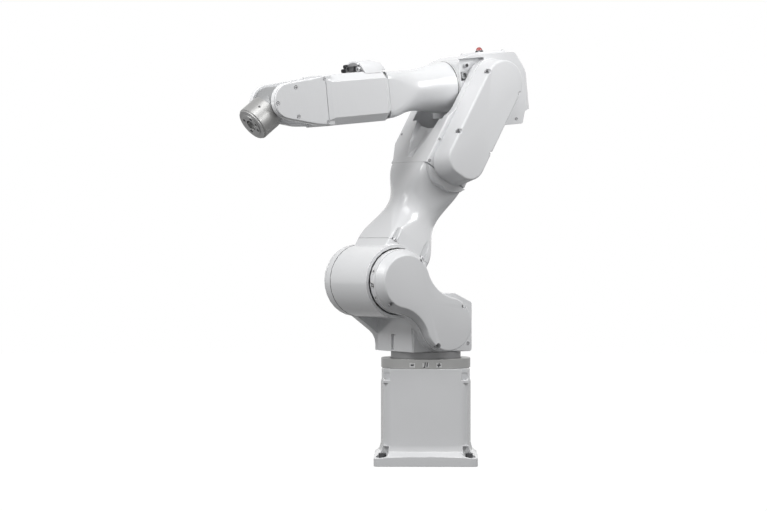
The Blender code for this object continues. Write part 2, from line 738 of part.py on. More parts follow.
def shoulder_profile():
    """Side view of the casting below the drum, in X and Z."""
    return rounded([(-SHOULDER_REAR, SHOULDER_BOTTOM, SHOULDER_EDGE), (SHOULDER_FRONT, SHOULDER_BOTTOM, 0),
                    (SHOULDER_FRONT, SHOULDER_HEIGHT - DRUM_RADIUS * 0.7, 0), (*SHOULDER_SADDLE, 0),
                    (SHOULDER_RIDGE_FRONT, SHOULDER_TOP, SHOULDER_EDGE),
                    (-SHOULDER_RIDGE_REAR, SHOULDER_TOP, SHOULDER_EDGE),
                    (-SHOULDER_REAR, SHOULDER_BACK_TOP, SHOULDER_EDGE)], COARSE)


def drum_room():
    return around(DRUM_RADIUS, FINE) + GAP


def near_lobes(inset, motor_inset):
    """Outline of the near cheek and of what is fastened on it, drawn in at each lobe."""
    return waisted(J2_AXIS, CHEEK_RADIUS - inset, J2_MOTOR, J2_MOTOR_LOBE - motor_inset,
                   J2_WAIST_RADIUS + (inset + motor_inset) / 2)


def far_leg():
    """Side view of the leg under the far cheek."""
    heel, toe = -SHOULDER_REAR * 0.6, SHOULDER_FRONT - SHOULDER_EDGE
    return rounded([(heel, SHOULDER_BOTTOM, 0), (toe, SHOULDER_BOTTOM, 0), (toe, LEG_ANKLE, LEG_ANKLE_RADIUS),
                    (*LEG_KNEE, 0), (SHOULDER_OFFSET, SHOULDER_HEIGHT, 0), (0, SHOULDER_TOP, 0),
                    (heel, SHOULDER_BACK_TOP, 0)], COARSE)


def motor_room():
    """Side view of the room behind the drum that holds the J2 motor, open to the rear."""
    rear = -SHOULDER_REAR - CUT
    front = SHOULDER_FRONT - SHOULDER_WALL
    floor = SHOULDER_BOTTOM + SHOULDER_WALL
    return [(rear, floor), (front, floor), (front, SHOULDER_ROOM_KNEE), (SHOULDER_ROOM_FRONT, LEG_KNEE[1]),
            (SHOULDER_ROOM_FRONT - CUT, SHOULDER_ROOM_TOP), (rear, SHOULDER_ROOM_TOP)]


def shoulder_casting():
    """A box on the turntable, with two cheeks that carry the upper arm's drum between them."""
    body = prism(shoulder_profile(), -SHOULDER_FAR_SIDE, SHOULDER_NEAR_SIDE, "Y")
    plan = rectangle(-SHOULDER_REAR - CUT, -SHOULDER_FAR_SIDE, SHOULDER_FRONT, SHOULDER_NEAR_SIDE,
                     SHOULDER_EDGE, COARSE)
    keep(body, prism(plan, SHOULDER_BOTTOM - CUT, SHOULDER_TOP + CUT, "Z"))
    join(body, prism(near_lobes(0, 0), SHOULDER_NEAR_SIDE - CUT, CHEEK_OUTER, "Y"))
    far_low, far_high = -FAR_CHEEK_OUTER, -DRUM_FAR - GAP
    join(body, prism(far_leg(), far_low, far_high, "Y"))
    join(body, disc(J2_AXIS, FAR_CHEEK_RADIUS, far_low, far_high, "Y", FINE))
    cut(body, disc(J2_AXIS, drum_room(), far_high, DRUM_NEAR + GAP, "Y", FINE))
    cut(body, prism(motor_room(), SHOULDER_WALL - SHOULDER_FAR_SIDE, J2_MOTOR_FACE, "Y"))
    shaft = SHAFT_RADIUS + SHAFT_CLEARANCE
    for place in (J2_AXIS, J2_MOTOR):
        cut(body, disc(place, shaft, J2_MOTOR_FACE - CUT, CHEEK_OUTER + CUT, "Y", COARSE))
    return cut(body, disc(J2_AXIS, around(FAR_HUB_RADIUS, PLAIN), far_low - CUT, far_high + CUT, "Y"))


def shoulder_rear_cover():
    """Closes the opening through which the J2 motor is fitted."""
    outline = rectangle(SHOULDER_WALL - SHOULDER_FAR_SIDE + GAP, SHOULDER_BOTTOM + SHOULDER_WALL + GAP,
                        J2_MOTOR_FACE - GAP, SHOULDER_ROOM_TOP - GAP)
    return prism(outline, -SHOULDER_REAR, SHOULDER_REAR_COVER_THICK - SHOULDER_REAR, "X")


def motor(centre, side, face, length):
    """A square servo motor across the arm, with its front at face and its body running back from it."""
    half = side / 2
    u, v = centre
    outline = rectangle(u - half, v - half, u + half, v + half, MOTOR_CORNER, COARSE)
    return prism(outline, face - length, face, "Y")


def pulley(centre, radius, face, low, width):
    """A toothed pulley on its shaft, which comes out of what drives it at face."""
    wheel = prism(toothed(centre, radius, PULLEY_TEETH, TOOTH_DEPTH), low, low + width, "Y")
    return join(wheel, disc(centre, min(SHAFT_RADIUS, radius / 2), face, low + width / 2, "Y", COARSE))


def belt(first, first_radius, second, second_radius, low, width, thick):
    """A closed band round two pulleys."""
    inside = GAP / math.cos(math.radians(PLAIN / 2)) + GAP
    outer = prism(banded(first, first_radius + inside + thick, second, second_radius + inside + thick),
                  low, low + width, "Y")
    inner = prism(banded(first, first_radius + inside, second, second_radius + inside), low - CUT,
                  low + width + CUT, "Y")
    return cut(outer, inner)


def moulded_cover(rings, low, high):
    """A cover along Y, open at its seat, that narrows towards its rounded face. rings draws its outline from
    how far it is drawn in by its draft, from 0 at the seat to 1 at the face, and by an inset."""
    def ring(draft, inset, height):
        return [(u, height, v) for u, v in rings(draft, inset)]

    soft = COVER_ROUND * 0.3
    body = loft([ring(0, 0, low), ring(1, 0, high - COVER_ROUND), ring(1, soft, high - soft),
                 ring(1, COVER_ROUND, high)])
    return cut(body, loft([ring(0, COVER_WALL, low - CUT), ring(1, COVER_WALL + soft, high - COVER_WALL)]))


def j2_belt_cover():
    """A moulded cover with two lobes. Only the lobe over J2 is drafted."""
    def rings(draft, inset):
        return near_lobes(COVER_LEDGE + J2_COVER_DRAFT * draft + inset, COVER_LEDGE + inset)

    return moulded_cover(rings, J2_COVER_INNER, J2_COVER_OUTER)


def j2_reducer():
    """Fills the drum between the cheek and the web that it turns."""
    low, high = J2_WEB + WEB_THICK + GAP, DRUM_NEAR
    hub = REDUCER_HUB_RADIUS
    profile = [(0, low), (hub, low), (REDUCER_RADIUS, low + WEB_THICK), (REDUCER_RADIUS, high), (0, high)]
    return turned(profile, "Y", J2_AXIS)


def j2_bearing_cap():
    """Closes the far cheek. Its hub reaches through the cheek into the drum's bearing."""
    outer, inner = -FAR_CHEEK_OUTER - GAP, -DRUM_FAR + WEB_THICK
    radius = FAR_CHEEK_RADIUS
    edge = CAP_THICK / 2
    return turned([(0, inner), (FAR_HUB_RADIUS, inner), (FAR_HUB_RADIUS, outer), (radius, outer),
                   (radius, outer - CAP_THICK + edge), (radius - edge / 3, outer - CAP_THICK + edge / 3),
                   (radius - edge, outer - CAP_THICK), (0, outer - CAP_THICK)], "Y", J2_AXIS, FINE)


def arm_section(front, rear, near, far, corner, height):
    """One ring of the upper arm: a rectangle with round corners, in X and Y, at a height along the arm."""
    centres = [(front - corner, near - corner, 0), (corner - rear, near - corner, 90),
               (corner - rear, corner - far, 180), (front - corner, corner - far, 270)]
    points = []
    for u, v, start in centres:
        points += swept((u, v), corner, start, 90, CORNER_STEPS)
    return [(u, v, height) for u, v in points]


def arm_lower_casting():
    """The drum round J2, and the square socket that the neck is bolted on."""
    drum = disc((0, 0), DRUM_RADIUS, -DRUM_FAR, DRUM_NEAR, "Y", FINE)
    socket = rectangle(-ARM_REAR, -ARM_FAR, ARM_FRONT, ARM_NEAR, ARM_EDGE, COARSE)
    body = join(drum, prism(socket, 0, LOWER_SPLIT + CUT, "Z"))
    wide = DRUM_RADIUS + CUT
    cut(body, box((-wide, -wide, LOWER_SPLIT), (wide, wide + CUT, LOWER_SPLIT + DRUM_RADIUS)))
    hollow = DRUM_RADIUS - DRUM_WALL
    cut(body, disc((0, 0), hollow, J2_WEB + WEB_THICK, DRUM_NEAR + CUT, "Y"))
    cut(body, disc((0, 0), around(FAR_HUB_RADIUS, PLAIN), -DRUM_FAR - CUT, J2_WEB - CUT, "Y"))
    cut(body, disc((0, 0), WEB_HOLE_RADIUS, -DRUM_FAR, J2_WEB + WEB_THICK + CUT, "Y", COARSE))
    passage = rectangle(-ARM_REAR + ARM_EDGE, -ARM_FAR + ARM_EDGE, ARM_FRONT - ARM_EDGE, ARM_NEAR - ARM_EDGE)
    return cut(body, prism(passage, LOWER_SPLIT * 0.6, LOWER_SPLIT + CUT, "Z"))


def neck_rings(inset, shares):
    """Rings of the neck, from its square foot through its round waist to its square head. shares places them
    between each end and the waist."""
    waist = (WAIST_FRONT, WAIST_REAR, WAIST_REAR, WAIST_FRONT)
    foot = (ARM_FRONT, ARM_REAR, ARM_NEAR, ARM_FAR)
    head = (FORK_FRONT, FORK_REAR, ARM_NEAR, ARM_FAR)
    rings = []
    for end, place, steps in ((foot, LOWER_SPLIT + GAP, shares), (head, UPPER_SPLIT, shares[-2::-1])):
        for share in steps:
            blend = 0.5 - 0.5 * math.cos(math.pi * share)
            sides = [side + (middle - side) * blend - inset for side, middle in zip(end, waist)]
            corner = max(ARM_EDGE + (WAIST_FRONT - ARM_EDGE) * blend - inset, CUT)
            rings.append(arm_section(*sides, corner, place + (WAIST_PLACE - place) * share))
    return rings


def stretched(sections, reach):
    """The same rings with the first and last moved outwards along Z, for a cutter."""
    first = [(u, v, w - reach) for u, v, w in sections[0]]
    last = [(u, v, w + reach) for u, v, w in sections[-1]]
    return [first] + sections + [last]


def arm_neck_casting():
    """Lofted from the square socket to a round waist and out to the fork's square foot. A round ledge about
    the J3 motor's axis runs down from the fork's near cheek."""
    body = loft(neck_rings(0, OUTER_RINGS))
    reach = math.degrees(math.acos((J3_MOTOR[1] - UPPER_SPLIT) / J3_LEDGE_RADIUS))
    ledge = arc(J3_MOTOR, J3_LEDGE_RADIUS, 270 - reach, 270 + reach)
    join(body, prism(ledge, ARM_NEAR - ARM_EDGE, FORK_NEAR_OUTER, "Y"))
    return cut(body, loft(stretched(neck_rings(ARM_WALL, INNER_RINGS), CUT)))


def fork_side(low):
    """Outline of the fork in X and Z: from below its foot up to a round end about J3."""
    top = UPPER_ARM_LENGTH + FORK_TOP
    return rounded([(-FORK_REAR, low, 0), (FORK_FRONT, low, 0), (FORK_FRONT, top, FORK_END_RADIUS),
                    (-FORK_REAR, top, FORK_END_RADIUS)])


def fork_front(low):
    """Outline of the fork in Y and Z. The far cheek swells out above the foot."""
    near, far = FORK_NEAR_OUTER + CUT, FORK_FAR_OUTER + CUT
    top = UPPER_ARM_LENGTH + FORK_TOP + CUT
    return rounded([(-ARM_FAR, low, 0), (near, low, 0), (near, top, 0), (-far, top, 0),
                    (-far, FORK_SWELL_TOP, FORK_SWELL_RADIUS),
                    (-ARM_FAR, low + ARM_EDGE, FORK_SWELL_RADIUS / 3)])


def near_cheek_relief():
    """Region ahead of the near cheek, in X and Z. Above the lip the cheek narrows, up to an oval end about J3."""
    top = UPPER_ARM_LENGTH + FORK_TOP + CUT
    oval = [(CHEEK_FRONT * math.cos(angle), UPPER_ARM_LENGTH + FORK_TOP * math.sin(angle), 0)
            for angle in map(math.radians, range(90, -1, -PLAIN))]
    return rounded([(FORK_FRONT + CUT, FORK_LIP, 0), (FORK_FRONT + CUT, top, 0), (0, top, 0), *oval,
                    (CHEEK_FRONT, FORK_LIP + CHEEK_FLARE, CHEEK_FLARE_RADIUS)])


def arm_fork_casting():
    """Two cheeks that hold the elbow, on a foot with a hollow saddle and room for the J3 motor."""
    low = UPPER_SPLIT + GAP
    body = prism(fork_side(low - ARM_EDGE), -FORK_FAR_OUTER, FORK_NEAR_OUTER, "Y", rim=FORK_EDGE, rim_steps=2,
                 both=True)
    keep(body, prism(fork_front(low), -FORK_REAR - CUT, FORK_FRONT + CUT, "X"))
    cut(body, disc(J3_AXIS, FORK_SADDLE, -FORK_FAR_INNER, FORK_NEAR_INNER, "Y", FINE))
    cut(body, fork_scoop())
    cut(body, prism(near_cheek_relief(), FORK_NEAR_INNER - CUT, FORK_NEAR_OUTER + CUT, "Y"))
    half = SMALL_MOTOR_SIDE / 2 + SHAFT_CLEARANCE / 2
    room = rectangle(-half, -FORK_FAR_INNER + CUT, half, FORK_NEAR_INNER)
    cut(body, prism(room, low - CUT, J3_MOTOR[1] + half, "Z"))
    shaft = SHAFT_RADIUS + SHAFT_CLEARANCE
    for place in (J3_AXIS, J3_MOTOR):
        cut(body, disc(place, shaft, FORK_NEAR_INNER - CUT, FORK_NEAR_OUTER + CUT, "Y", COARSE))
    bearing = around(FAR_HUB_RADIUS, PLAIN)
    return cut(body, disc(J3_AXIS, bearing, -FORK_FAR_OUTER - CUT, -FORK_FAR_INNER + CUT, "Y"))


def fork_scoop():
    """A hollow in the front of the saddle, narrowing downwards between the cheeks."""
    top = FORK_LIP + FORK_SCOOP_REACH
    bottom = UPPER_SPLIT + FORK_SCOOP_REACH
    out = FORK_FRONT + FORK_SCOOP_DEPTH
    sections = []
    for share in (0.0, 0.35, 0.7, 1.0):
        height = bottom + (top - bottom) * share
        half = FORK_SCOOP_BOTTOM + FORK_SCOOP_HALF * math.sqrt(share)
        back = FORK_FRONT - FORK_SCOOP_DEPTH * (0.3 + 0.7 * share)
        lip = back + FORK_SCOOP_DEPTH / 3
        sections.append([(out, -half, height), (out, half, height), (lip, half * 0.8, height),
                         (back, half * 0.4, height), (back, -half * 0.4, height), (lip, -half * 0.8, height)])
    return loft(sections)


def j3_belt_cover():
    """A long moulded cover, round about J3. Its blunter lower end leans in more than its sides."""
    def rings(draft, inset):
        half = J3_COVER_RADIUS - COVER_LEDGE / 2 - J3_COVER_DRAFT * draft - inset
        low = J3_MOTOR[1] - J3_COVER_RADIUS + J3_COVER_LEAN * draft + inset
        top, crown, corner = UPPER_ARM_LENGTH + half, half - GAP, J3_COVER_CORNER - inset
        return rounded([(-half, low, corner), (half, low, corner), (half, top, crown), (-half, top, crown)])

    return moulded_cover(rings, J3_COVER_INNER, J3_COVER_OUTER)


def j3_reducer():
    low, high = J3_WEB + WEB_THICK + GAP, FORK_NEAR_INNER - GAP
    hub = REDUCER_HUB_RADIUS
    radius = J3_REDUCER_RADIUS
    return turned([(0, low), (hub, low), (radius, low + WEB_THICK), (radius, high), (0, high)], "Y")


def j3_far_cover():
    """A round cap on the far cheek. Its hub reaches through the cheek to the elbow's bearing."""
    outer, inner = -FORK_FAR_OUTER - GAP, -FORK_FAR_INNER + WEB_THICK
    radius = FORK_END_RADIUS - COVER_LEDGE
    edge = J3_FAR_COVER_THICK / 2
    face = outer - J3_FAR_COVER_THICK
    soft = edge / 3
    rim = [(radius, outer), (radius, face + edge), (radius - soft, face + soft), (radius - edge, face)]
    hub = [(0, inner), (FAR_HUB_RADIUS, inner), (FAR_HUB_RADIUS, outer)]
    return turned(hub + rim + [(0, face)], "Y", J3_AXIS, FINE)


def elbow_profile():
    """Side view of the elbow, in X and Z."""
    front = ELBOW_SEAM - GAP - CUT
    edge = ELBOW_EDGE
    step = ELBOW_STEP_DEPTH - ELBOW_REAR
    return rounded([(front, -ELBOW_CHIN, 0), (front, ELBOW_BROW, edge), (ELBOW_BROW_END, ELBOW_TOP, edge * 2),
                    (-ELBOW_SLOPE_TOP, ELBOW_TOP, edge), (-ELBOW_REAR, ELBOW_SLOPE_END, edge),
                    (-ELBOW_REAR, -ELBOW_STEP, edge / 3), (step, -ELBOW_STEP - edge / 2, edge / 3),
                    (-ELBOW_HEEL, -ELBOW_BOTTOM, edge / 2), (-ELBOW_TOE, -ELBOW_BOTTOM, edge),
                    (edge, -ELBOW_CHIN, edge * 2)], COARSE)


def elbow_casting():
    """Holds the J3 reducer in its side and the J4 motor and reducer along the forearm."""
    near, far = FORK_NEAR_INNER - GAP, GAP - FORK_FAR_INNER
    body = prism(elbow_profile(), far, near, "Y")
    plan = rounded([(ELBOW_SEAM, near, ELBOW_EDGE / 3), (-ELBOW_REAR, near, ELBOW_PLAN_EDGE),
                    (-ELBOW_REAR, far, ELBOW_PLAN_EDGE), (ELBOW_SEAM, far, ELBOW_EDGE / 3)], COARSE)
    keep(body, prism(plan, -ELBOW_BOTTOM - CUT, ELBOW_TOP + CUT, "Z"))
    plate = ELBOW_SEAM - RING_PLATE_DEPTH
    join(body, disc((0, 0), NECK_END_RADIUS, plate, ELBOW_SEAM - GAP, "X", FINE))
    cut(body, disc((0, 0), J3_REDUCER_RADIUS + CUT / 2, J3_WEB + WEB_THICK, near + CUT, "Y"))
    cut(body, disc((0, 0), around(FAR_HUB_RADIUS, PLAIN), far - CUT, far + WEB_THICK + CUT * 2, "Y"))
    half = SMALL_MOTOR_SIDE / 2 + GAP
    low, high = J4_MOTOR_FAR - GAP, J3_WEB - CUT / 2
    cut(body, prism(rectangle(low, -half, high, half), -ELBOW_BAY_REAR, plate, "X"))
    cut(body, prism(rectangle(low, -ELBOW_HATCH_LOW, high, ELBOW_HATCH_HIGH), -ELBOW_REAR - CUT,
                    CUT - ELBOW_BAY_REAR, "X"))
    pocket = box((CUT, POCKET_FLOOR, POCKET_LOW), (plate + CUT, near + CUT, POCKET_HIGH))
    cut(pocket, disc((0, 0), J3_REDUCER_RADIUS + CUT * 1.5, POCKET_FLOOR - CUT, near + CUT * 2, "Y"))
    cut(body, pocket)
    return cut(body, disc((0, 0), J4_REDUCER_RADIUS + CUT, plate - CUT, ELBOW_SEAM + CUT, "X"))


def j4_reducer():
    """Fills the bore behind the J4 seam."""
    low = ELBOW_SEAM - RING_PLATE_DEPTH - CUT + GAP
    return disc((0, 0), J4_REDUCER_RADIUS, low, ELBOW_SEAM, "X")


def j4_motor():
    """Stands against the ring plate, beside the J3 reducer."""
    half = SMALL_MOTOR_SIDE / 2
    face = ELBOW_SEAM - RING_PLATE_DEPTH - CUT
    return prism(rectangle(J4_MOTOR_FAR, -half, J3_WEB - CUT, half), face - SMALL_MOTOR_LENGTH, face, "X")


def elbow_rear_cover():
    """Closes the hatch of the J4 motor's bay at the back of the elbow."""
    outline = rectangle(J4_MOTOR_FAR, GAP - ELBOW_HATCH_LOW, J3_WEB - CUT, ELBOW_HATCH_HIGH - GAP)
    return prism(outline, -ELBOW_REAR, SHOULDER_REAR_COVER_THICK - ELBOW_REAR, "X")


def elbow_top_cover():
    half = TOP_COVER_WIDTH / 2
    outline = rectangle(-TOP_COVER_REAR, -half, TOP_COVER_FRONT, half, ELBOW_EDGE, COARSE)
    low = ELBOW_TOP + GAP
    return prism(outline, low, low + TOP_COVER_THICK, "Z", rim=TOP_COVER_THICK * 0.6, rim_steps=2)


def lamp_ring():
    """The dark collar that the lamp's lens stands in."""
    low = ELBOW_TOP + TOP_COVER_THICK + 2 * GAP
    return turned([(0, low), (LAMP_RING_RADIUS, low), (LAMP_RING_RADIUS, low + LAMP_RING_HEIGHT * 0.7),
                   (LAMP_RING_RADIUS * 0.9, low + LAMP_RING_HEIGHT), (0, low + LAMP_RING_HEIGHT)], "Z",
                  (-LAMP_BACK, -LAMP_SIDE), COARSE)


def lamp_lens():
    """A domed lens."""
    low = ELBOW_TOP + TOP_COVER_THICK + LAMP_RING_HEIGHT + 3 * GAP
    dome = [(u, low + w) for u, w in arc((0, 0), LAMP_RADIUS, 0, 90)]
    return turned([(0, low)] + dome[:-1] + [(0, low + LAMP_RADIUS)], "Z", (-LAMP_BACK, -LAMP_SIDE), COARSE)


def round_connector():
    """A ring-nut connector on the elbow's side."""
    seat = POCKET_FLOOR + GAP
    end = seat + ROUND_CONNECTOR_LENGTH
    centre = (ELBOW_CONNECTOR_X, ELBOW_CONNECTOR_Z)
    nut = prism(toothed(centre, ROUND_CONNECTOR_RADIUS, 12, 0.0006), seat, end, "Y")
    socket = ROUND_CONNECTOR_RADIUS * 0.6
    return cut(nut, disc(centre, socket, end - ROUND_CONNECTOR_LENGTH / 2, end + CUT, "Y", COARSE))


def forearm_ring(half, corner, drop, place):
    """One ring of the forearm's neck, in Y and Z: a square with round corners, or a circle."""
    points = arm_section(half, half, half, half, min(corner, half * 0.999), 0)
    return [(place, u, v - drop) for u, v, _ in points]


def forearm_neck_rings(inset, shares):
    """Rings from the round J4 seam through the waist to the square collar, which lies a little lower."""
    rings = []
    seam = ELBOW_SEAM + GAP
    for share in shares:
        ease = 0.5 + 0.5 * math.cos(math.pi * share)
        radius = NECK_WAIST_RADIUS + (NECK_END_RADIUS - NECK_WAIST_RADIUS) * ease - inset
        rings.append(forearm_ring(radius, radius, 0, seam + (NECK_WAIST_PLACE - seam) * share))
    for share in shares[-2::-1]:
        ease = 0.5 + 0.5 * math.cos(math.pi * share)
        half = NECK_WAIST_RADIUS + (NECK_SQUARE - NECK_WAIST_RADIUS) * ease - inset
        corner = NECK_WAIST_RADIUS + (NECK_CHAMFER - NECK_WAIST_RADIUS) * ease
        place = NECK_END + (NECK_WAIST_PLACE - NECK_END) * share
        rings.append(forearm_ring(half, corner, BODY_DROP * ease, place))
    return rings


def forearm_neck():
    """A round throat from the J4 seam to the square collar of the body."""
    body = loft(forearm_neck_rings(0, OUTER_RINGS))
    inner = forearm_neck_rings(NECK_WALL, INNER_RINGS)
    first = [(u - CUT, v, w) for u, v, w in inner[0]]
    last = [(u + CUT, v, w) for u, v, w in inner[-1]]
    return cut(body, loft([first] + inner + [last]))


def octagon(place, half_width, half_height, chamfer):
    """A ring of the forearm's body, in Y and Z: a rectangle with its corners cut."""
    wide, tall = half_width - chamfer, half_height - chamfer
    corners = [(half_width, tall), (wide, half_height), (-wide, half_height), (-half_width, tall),
               (-half_width, -tall), (-wide, -half_height), (wide, -half_height), (half_width, -tall)]
    return [(place, y, z - BODY_DROP) for y, z in corners]


def tine_side(inset, rear):
    """Outline in X and Z of the fork that holds the wrist, tapering to a round end about J5."""
    high = BODY_HALF_HEIGHT - BODY_DROP - TINE_STEP - inset
    low = -BODY_HALF_HEIGHT - BODY_DROP + TINE_STEP + inset
    end = TINE_END_RADIUS - inset
    axis = (FOREARM_LENGTH, 0)
    upper, lower = (TINE_SHOULDER, high - TINE_TAPER), (TINE_SHOULDER, low + TINE_TAPER)
    start = direction(axis, lower) + math.degrees(math.acos(end / spread(axis, lower)))
    stop = direction(axis, upper) - math.degrees(math.acos(end / spread(axis, upper)))
    return [upper, (rear, high), (rear, low), lower] + arc(axis, end, start, stop)


def forearm_body():
    """The cut-cornered housing of both wrist motors, and the fork round the wrist."""
    start = NECK_END + GAP
    slant = BODY_FRONT + BODY_SLANT
    front_chamfer = BODY_CHAMFER - BODY_HALF_WIDTH + TINE_OUTER
    body = loft([octagon(start, NECK_SQUARE, NECK_SQUARE, NECK_CHAMFER),
                 octagon(start + BODY_COLLAR, BODY_HALF_WIDTH, BODY_HALF_HEIGHT, BODY_CHAMFER),
                 octagon(BODY_FRONT, BODY_HALF_WIDTH, BODY_HALF_HEIGHT, BODY_CHAMFER),
                 octagon(slant, TINE_OUTER, BODY_HALF_HEIGHT, front_chamfer)])
    join(body, prism(tine_side(0, BODY_FRONT), -TINE_OUTER, TINE_OUTER, "Y"))
    slot_back = FOREARM_LENGTH - WRIST_SLOT
    end = FOREARM_LENGTH + TINE_END_RADIUS + CUT
    high = BODY_HALF_HEIGHT + BODY_DROP + CUT
    cut(body, box((slot_back, -TINE_INNER, -high), (end, TINE_INNER, high)))

    tall = BODY_HALF_HEIGHT - BODY_WALL
    lining = TINE_INNER + TINE_WALL
    room = rectangle(-TINE_INNER, -tall - BODY_DROP, TINE_INNER, tall - BODY_DROP)
    cut(body, prism(room, start - CUT, slot_back - BODY_WALL, "X"))
    belt_side = WRIST_BELT_LOW + WRIST_BELT_WIDTH + 2 * GAP
    wrist_hole = circle((FOREARM_LENGTH, 0), SHAFT_RADIUS + SHAFT_CLEARANCE, COARSE)
    for way, place in ((1, WRIST_MOTOR_1), (-1, WRIST_MOTOR_2)):
        motor_hole = circle((place, 0), SHAFT_RADIUS, COARSE)
        for outline, inner, outer in ((side_room(), lining, BODY_HALF_WIDTH - BODY_WALL),
                                      (side_window(BODY_FRONT - BODY_COLLAR), lining, belt_side),
                                      (side_window(slant + CUT), lining, TINE_OUTER + CUT),
                                      (wrist_hole, TINE_INNER - CUT, lining + CUT),
                                      (motor_hole, TINE_INNER - CUT, lining + CUT)):
            near, far = sorted((way * inner, way * outer))
            cut(body, prism(outline, near, far, "Y"))
    return body


def side_room():
    """The room beside the wrist motors for their pulleys, in X and Z."""
    half = BODY_HALF_HEIGHT - BODY_WALL - BODY_CHAMFER
    rear = WRIST_MOTOR_2 - WRIST_MOTOR_SIDE / 2
    return rectangle(rear, -half - BODY_DROP, BODY_FRONT, half - BODY_DROP)


def side_window(rear):
    """The belt's way through the fork, from rear to J5. The side cover closes it."""
    radius = TINE_END_RADIUS - BODY_WALL
    return banded((FOREARM_LENGTH, 0), radius, (rear + radius, 0), radius)


def forearm_side_cover(way):
    """A flat cover over the belt, with its outer edge rounded."""
    inner = TINE_OUTER + GAP
    outer = inner + SIDE_COVER_THICK
    outline = tine_side(COVER_LEDGE / 2, BODY_FRONT + BODY_SLANT + GAP)
    if way > 0:
        return prism(outline, inner, outer, "Y", rim=SIDE_COVER_THICK / 2, rim_steps=2)
    return prism(outline, -outer, -inner, "Y", rim=-SIDE_COVER_THICK / 2, rim_steps=2)


def wrist_motor(place, way):
    """Lies across the body with its face against the lining on its own side."""
    half = WRIST_MOTOR_SIDE / 2
    face = TINE_INNER - GAP
    low, high = sorted((way * face, way * (face - WRIST_MOTOR_LENGTH)))
    return prism(rectangle(place - half, -half, place + half, half, MOTOR_CORNER, COARSE), low, high, "Y")


def wrist_pulley(place, radius, way, seat):
    """A toothed pulley on its shaft. The shaft starts at seat."""
    low, high = sorted((way * WRIST_BELT_LOW, way * (WRIST_BELT_LOW + WRIST_BELT_WIDTH)))
    wheel = prism(toothed((place, 0), radius, PULLEY_TEETH, TOOTH_DEPTH), low, high, "Y")
    low, high = sorted((way * seat, way * (WRIST_BELT_LOW + WRIST_BELT_WIDTH / 2)))
    return join(wheel, disc((place, 0), SHAFT_RADIUS * 0.8, low, high, "Y", COARSE))


def wrist_belt(place, way):
    low = WRIST_BELT_LOW if way > 0 else -WRIST_BELT_LOW - WRIST_BELT_WIDTH
    wrist = (FOREARM_LENGTH, 0)
    return belt((place, 0), WRIST_SMALL_PULLEY, wrist, WRIST_LARGE_PULLEY, low, WRIST_BELT_WIDTH,
                WRIST_BELT_THICK)


def connector_dome():
    """The housing of the tool connectors: an oval arch over the forearm, rounded off behind. Its foot follows
    the body's roof and cut corners."""
    centre = BODY_TOP - DOME_SINK
    tail = DOME_LENGTH - DOME_STRAIGHT
    sections = []
    for share in (None, *DOME_TAIL_SHARES):
        size = math.sqrt(1 - share * share) if share else 1.0
        place = DOME_FRONT - DOME_STRAIGHT - tail * share if share is not None else DOME_FRONT
        roof = [(DOME_HALF_WIDTH * size * u, centre + DOME_HALF_HEIGHT * size * v)
                for u, v in arc((0, 0), 1.0, 0, 180, FINE)]
        foot = BODY_TOP - DOME_SKIRT - CUT
        outline = [(roof[0][0], foot)] + roof + [(roof[-1][0], foot)]
        sections.append([(place, u, max(v, foot)) for u, v in outline])
    dome = loft(sections)
    wide, tall = BODY_HALF_WIDTH + GAP, BODY_HALF_HEIGHT + GAP
    ends = (DOME_FRONT + CUT, DOME_FRONT - DOME_LENGTH - CUT)
    cut(dome, loft([octagon(place, wide, tall, BODY_CHAMFER + GAP / 2) for place in ends]))
    low = BODY_TOP - DOME_SKIRT
    return cut(dome, box((ends[1], -wide, low - DOME_SKIRT), (ends[0], wide, low)))


def dome_port(place):
    side, rise = place
    return push_in_port("X", (side, BODY_TOP + rise), DOME_FRONT + GAP, 1)


def wrist_housing():
    """A barrel across the fork, with a nose that carries the tool flange."""
    barrel = disc((0, 0), WRIST_RADIUS, -WRIST_HALF_WIDTH, WRIST_HALF_WIDTH, "Y", FINE)
    return join(barrel, disc((0, 0), WRIST_RADIUS * 0.985, 0, WRIST_NOSE, "X", FINE))


def tool_flange():
    """The round output flange with its centring boss, bore, threaded holes and dowel hole."""
    low = WRIST_NOSE + GAP
    step = FLANGE_LENGTH - FLANGE_STEP
    end = FLANGE_LENGTH
    face = end - FLANGE_BOSS_HEIGHT
    floor = end - FLANGE_BORE_DEPTH
    side = [(0, low), (FLANGE_RADIUS, low), (FLANGE_RADIUS, step), (FLANGE_FACE_RADIUS, step + CUT / 2)]
    front = [(FLANGE_FACE_RADIUS, face), (FLANGE_BOSS_RADIUS, face), (FLANGE_BOSS_RADIUS, end)]
    body = turned(side + front + [(FLANGE_BORE, end), (FLANGE_BORE, floor), (0, floor)], "X", step=FINE)
    pitch = FLANGE_PITCH_RADIUS
    for quarter in range(4):
        angle = math.radians(45 + 90 * quarter)
        place = (pitch * math.cos(angle), pitch * math.sin(angle))
        cut(body, disc(place, FLANGE_HOLE_RADIUS, end - FLANGE_HOLE_DEPTH, end + CUT, "X", COARSE))
    return cut(body, disc((pitch, 0), DOWEL_RADIUS, end - FLANGE_HOLE_DEPTH / 2, end + CUT, "X", COARSE))


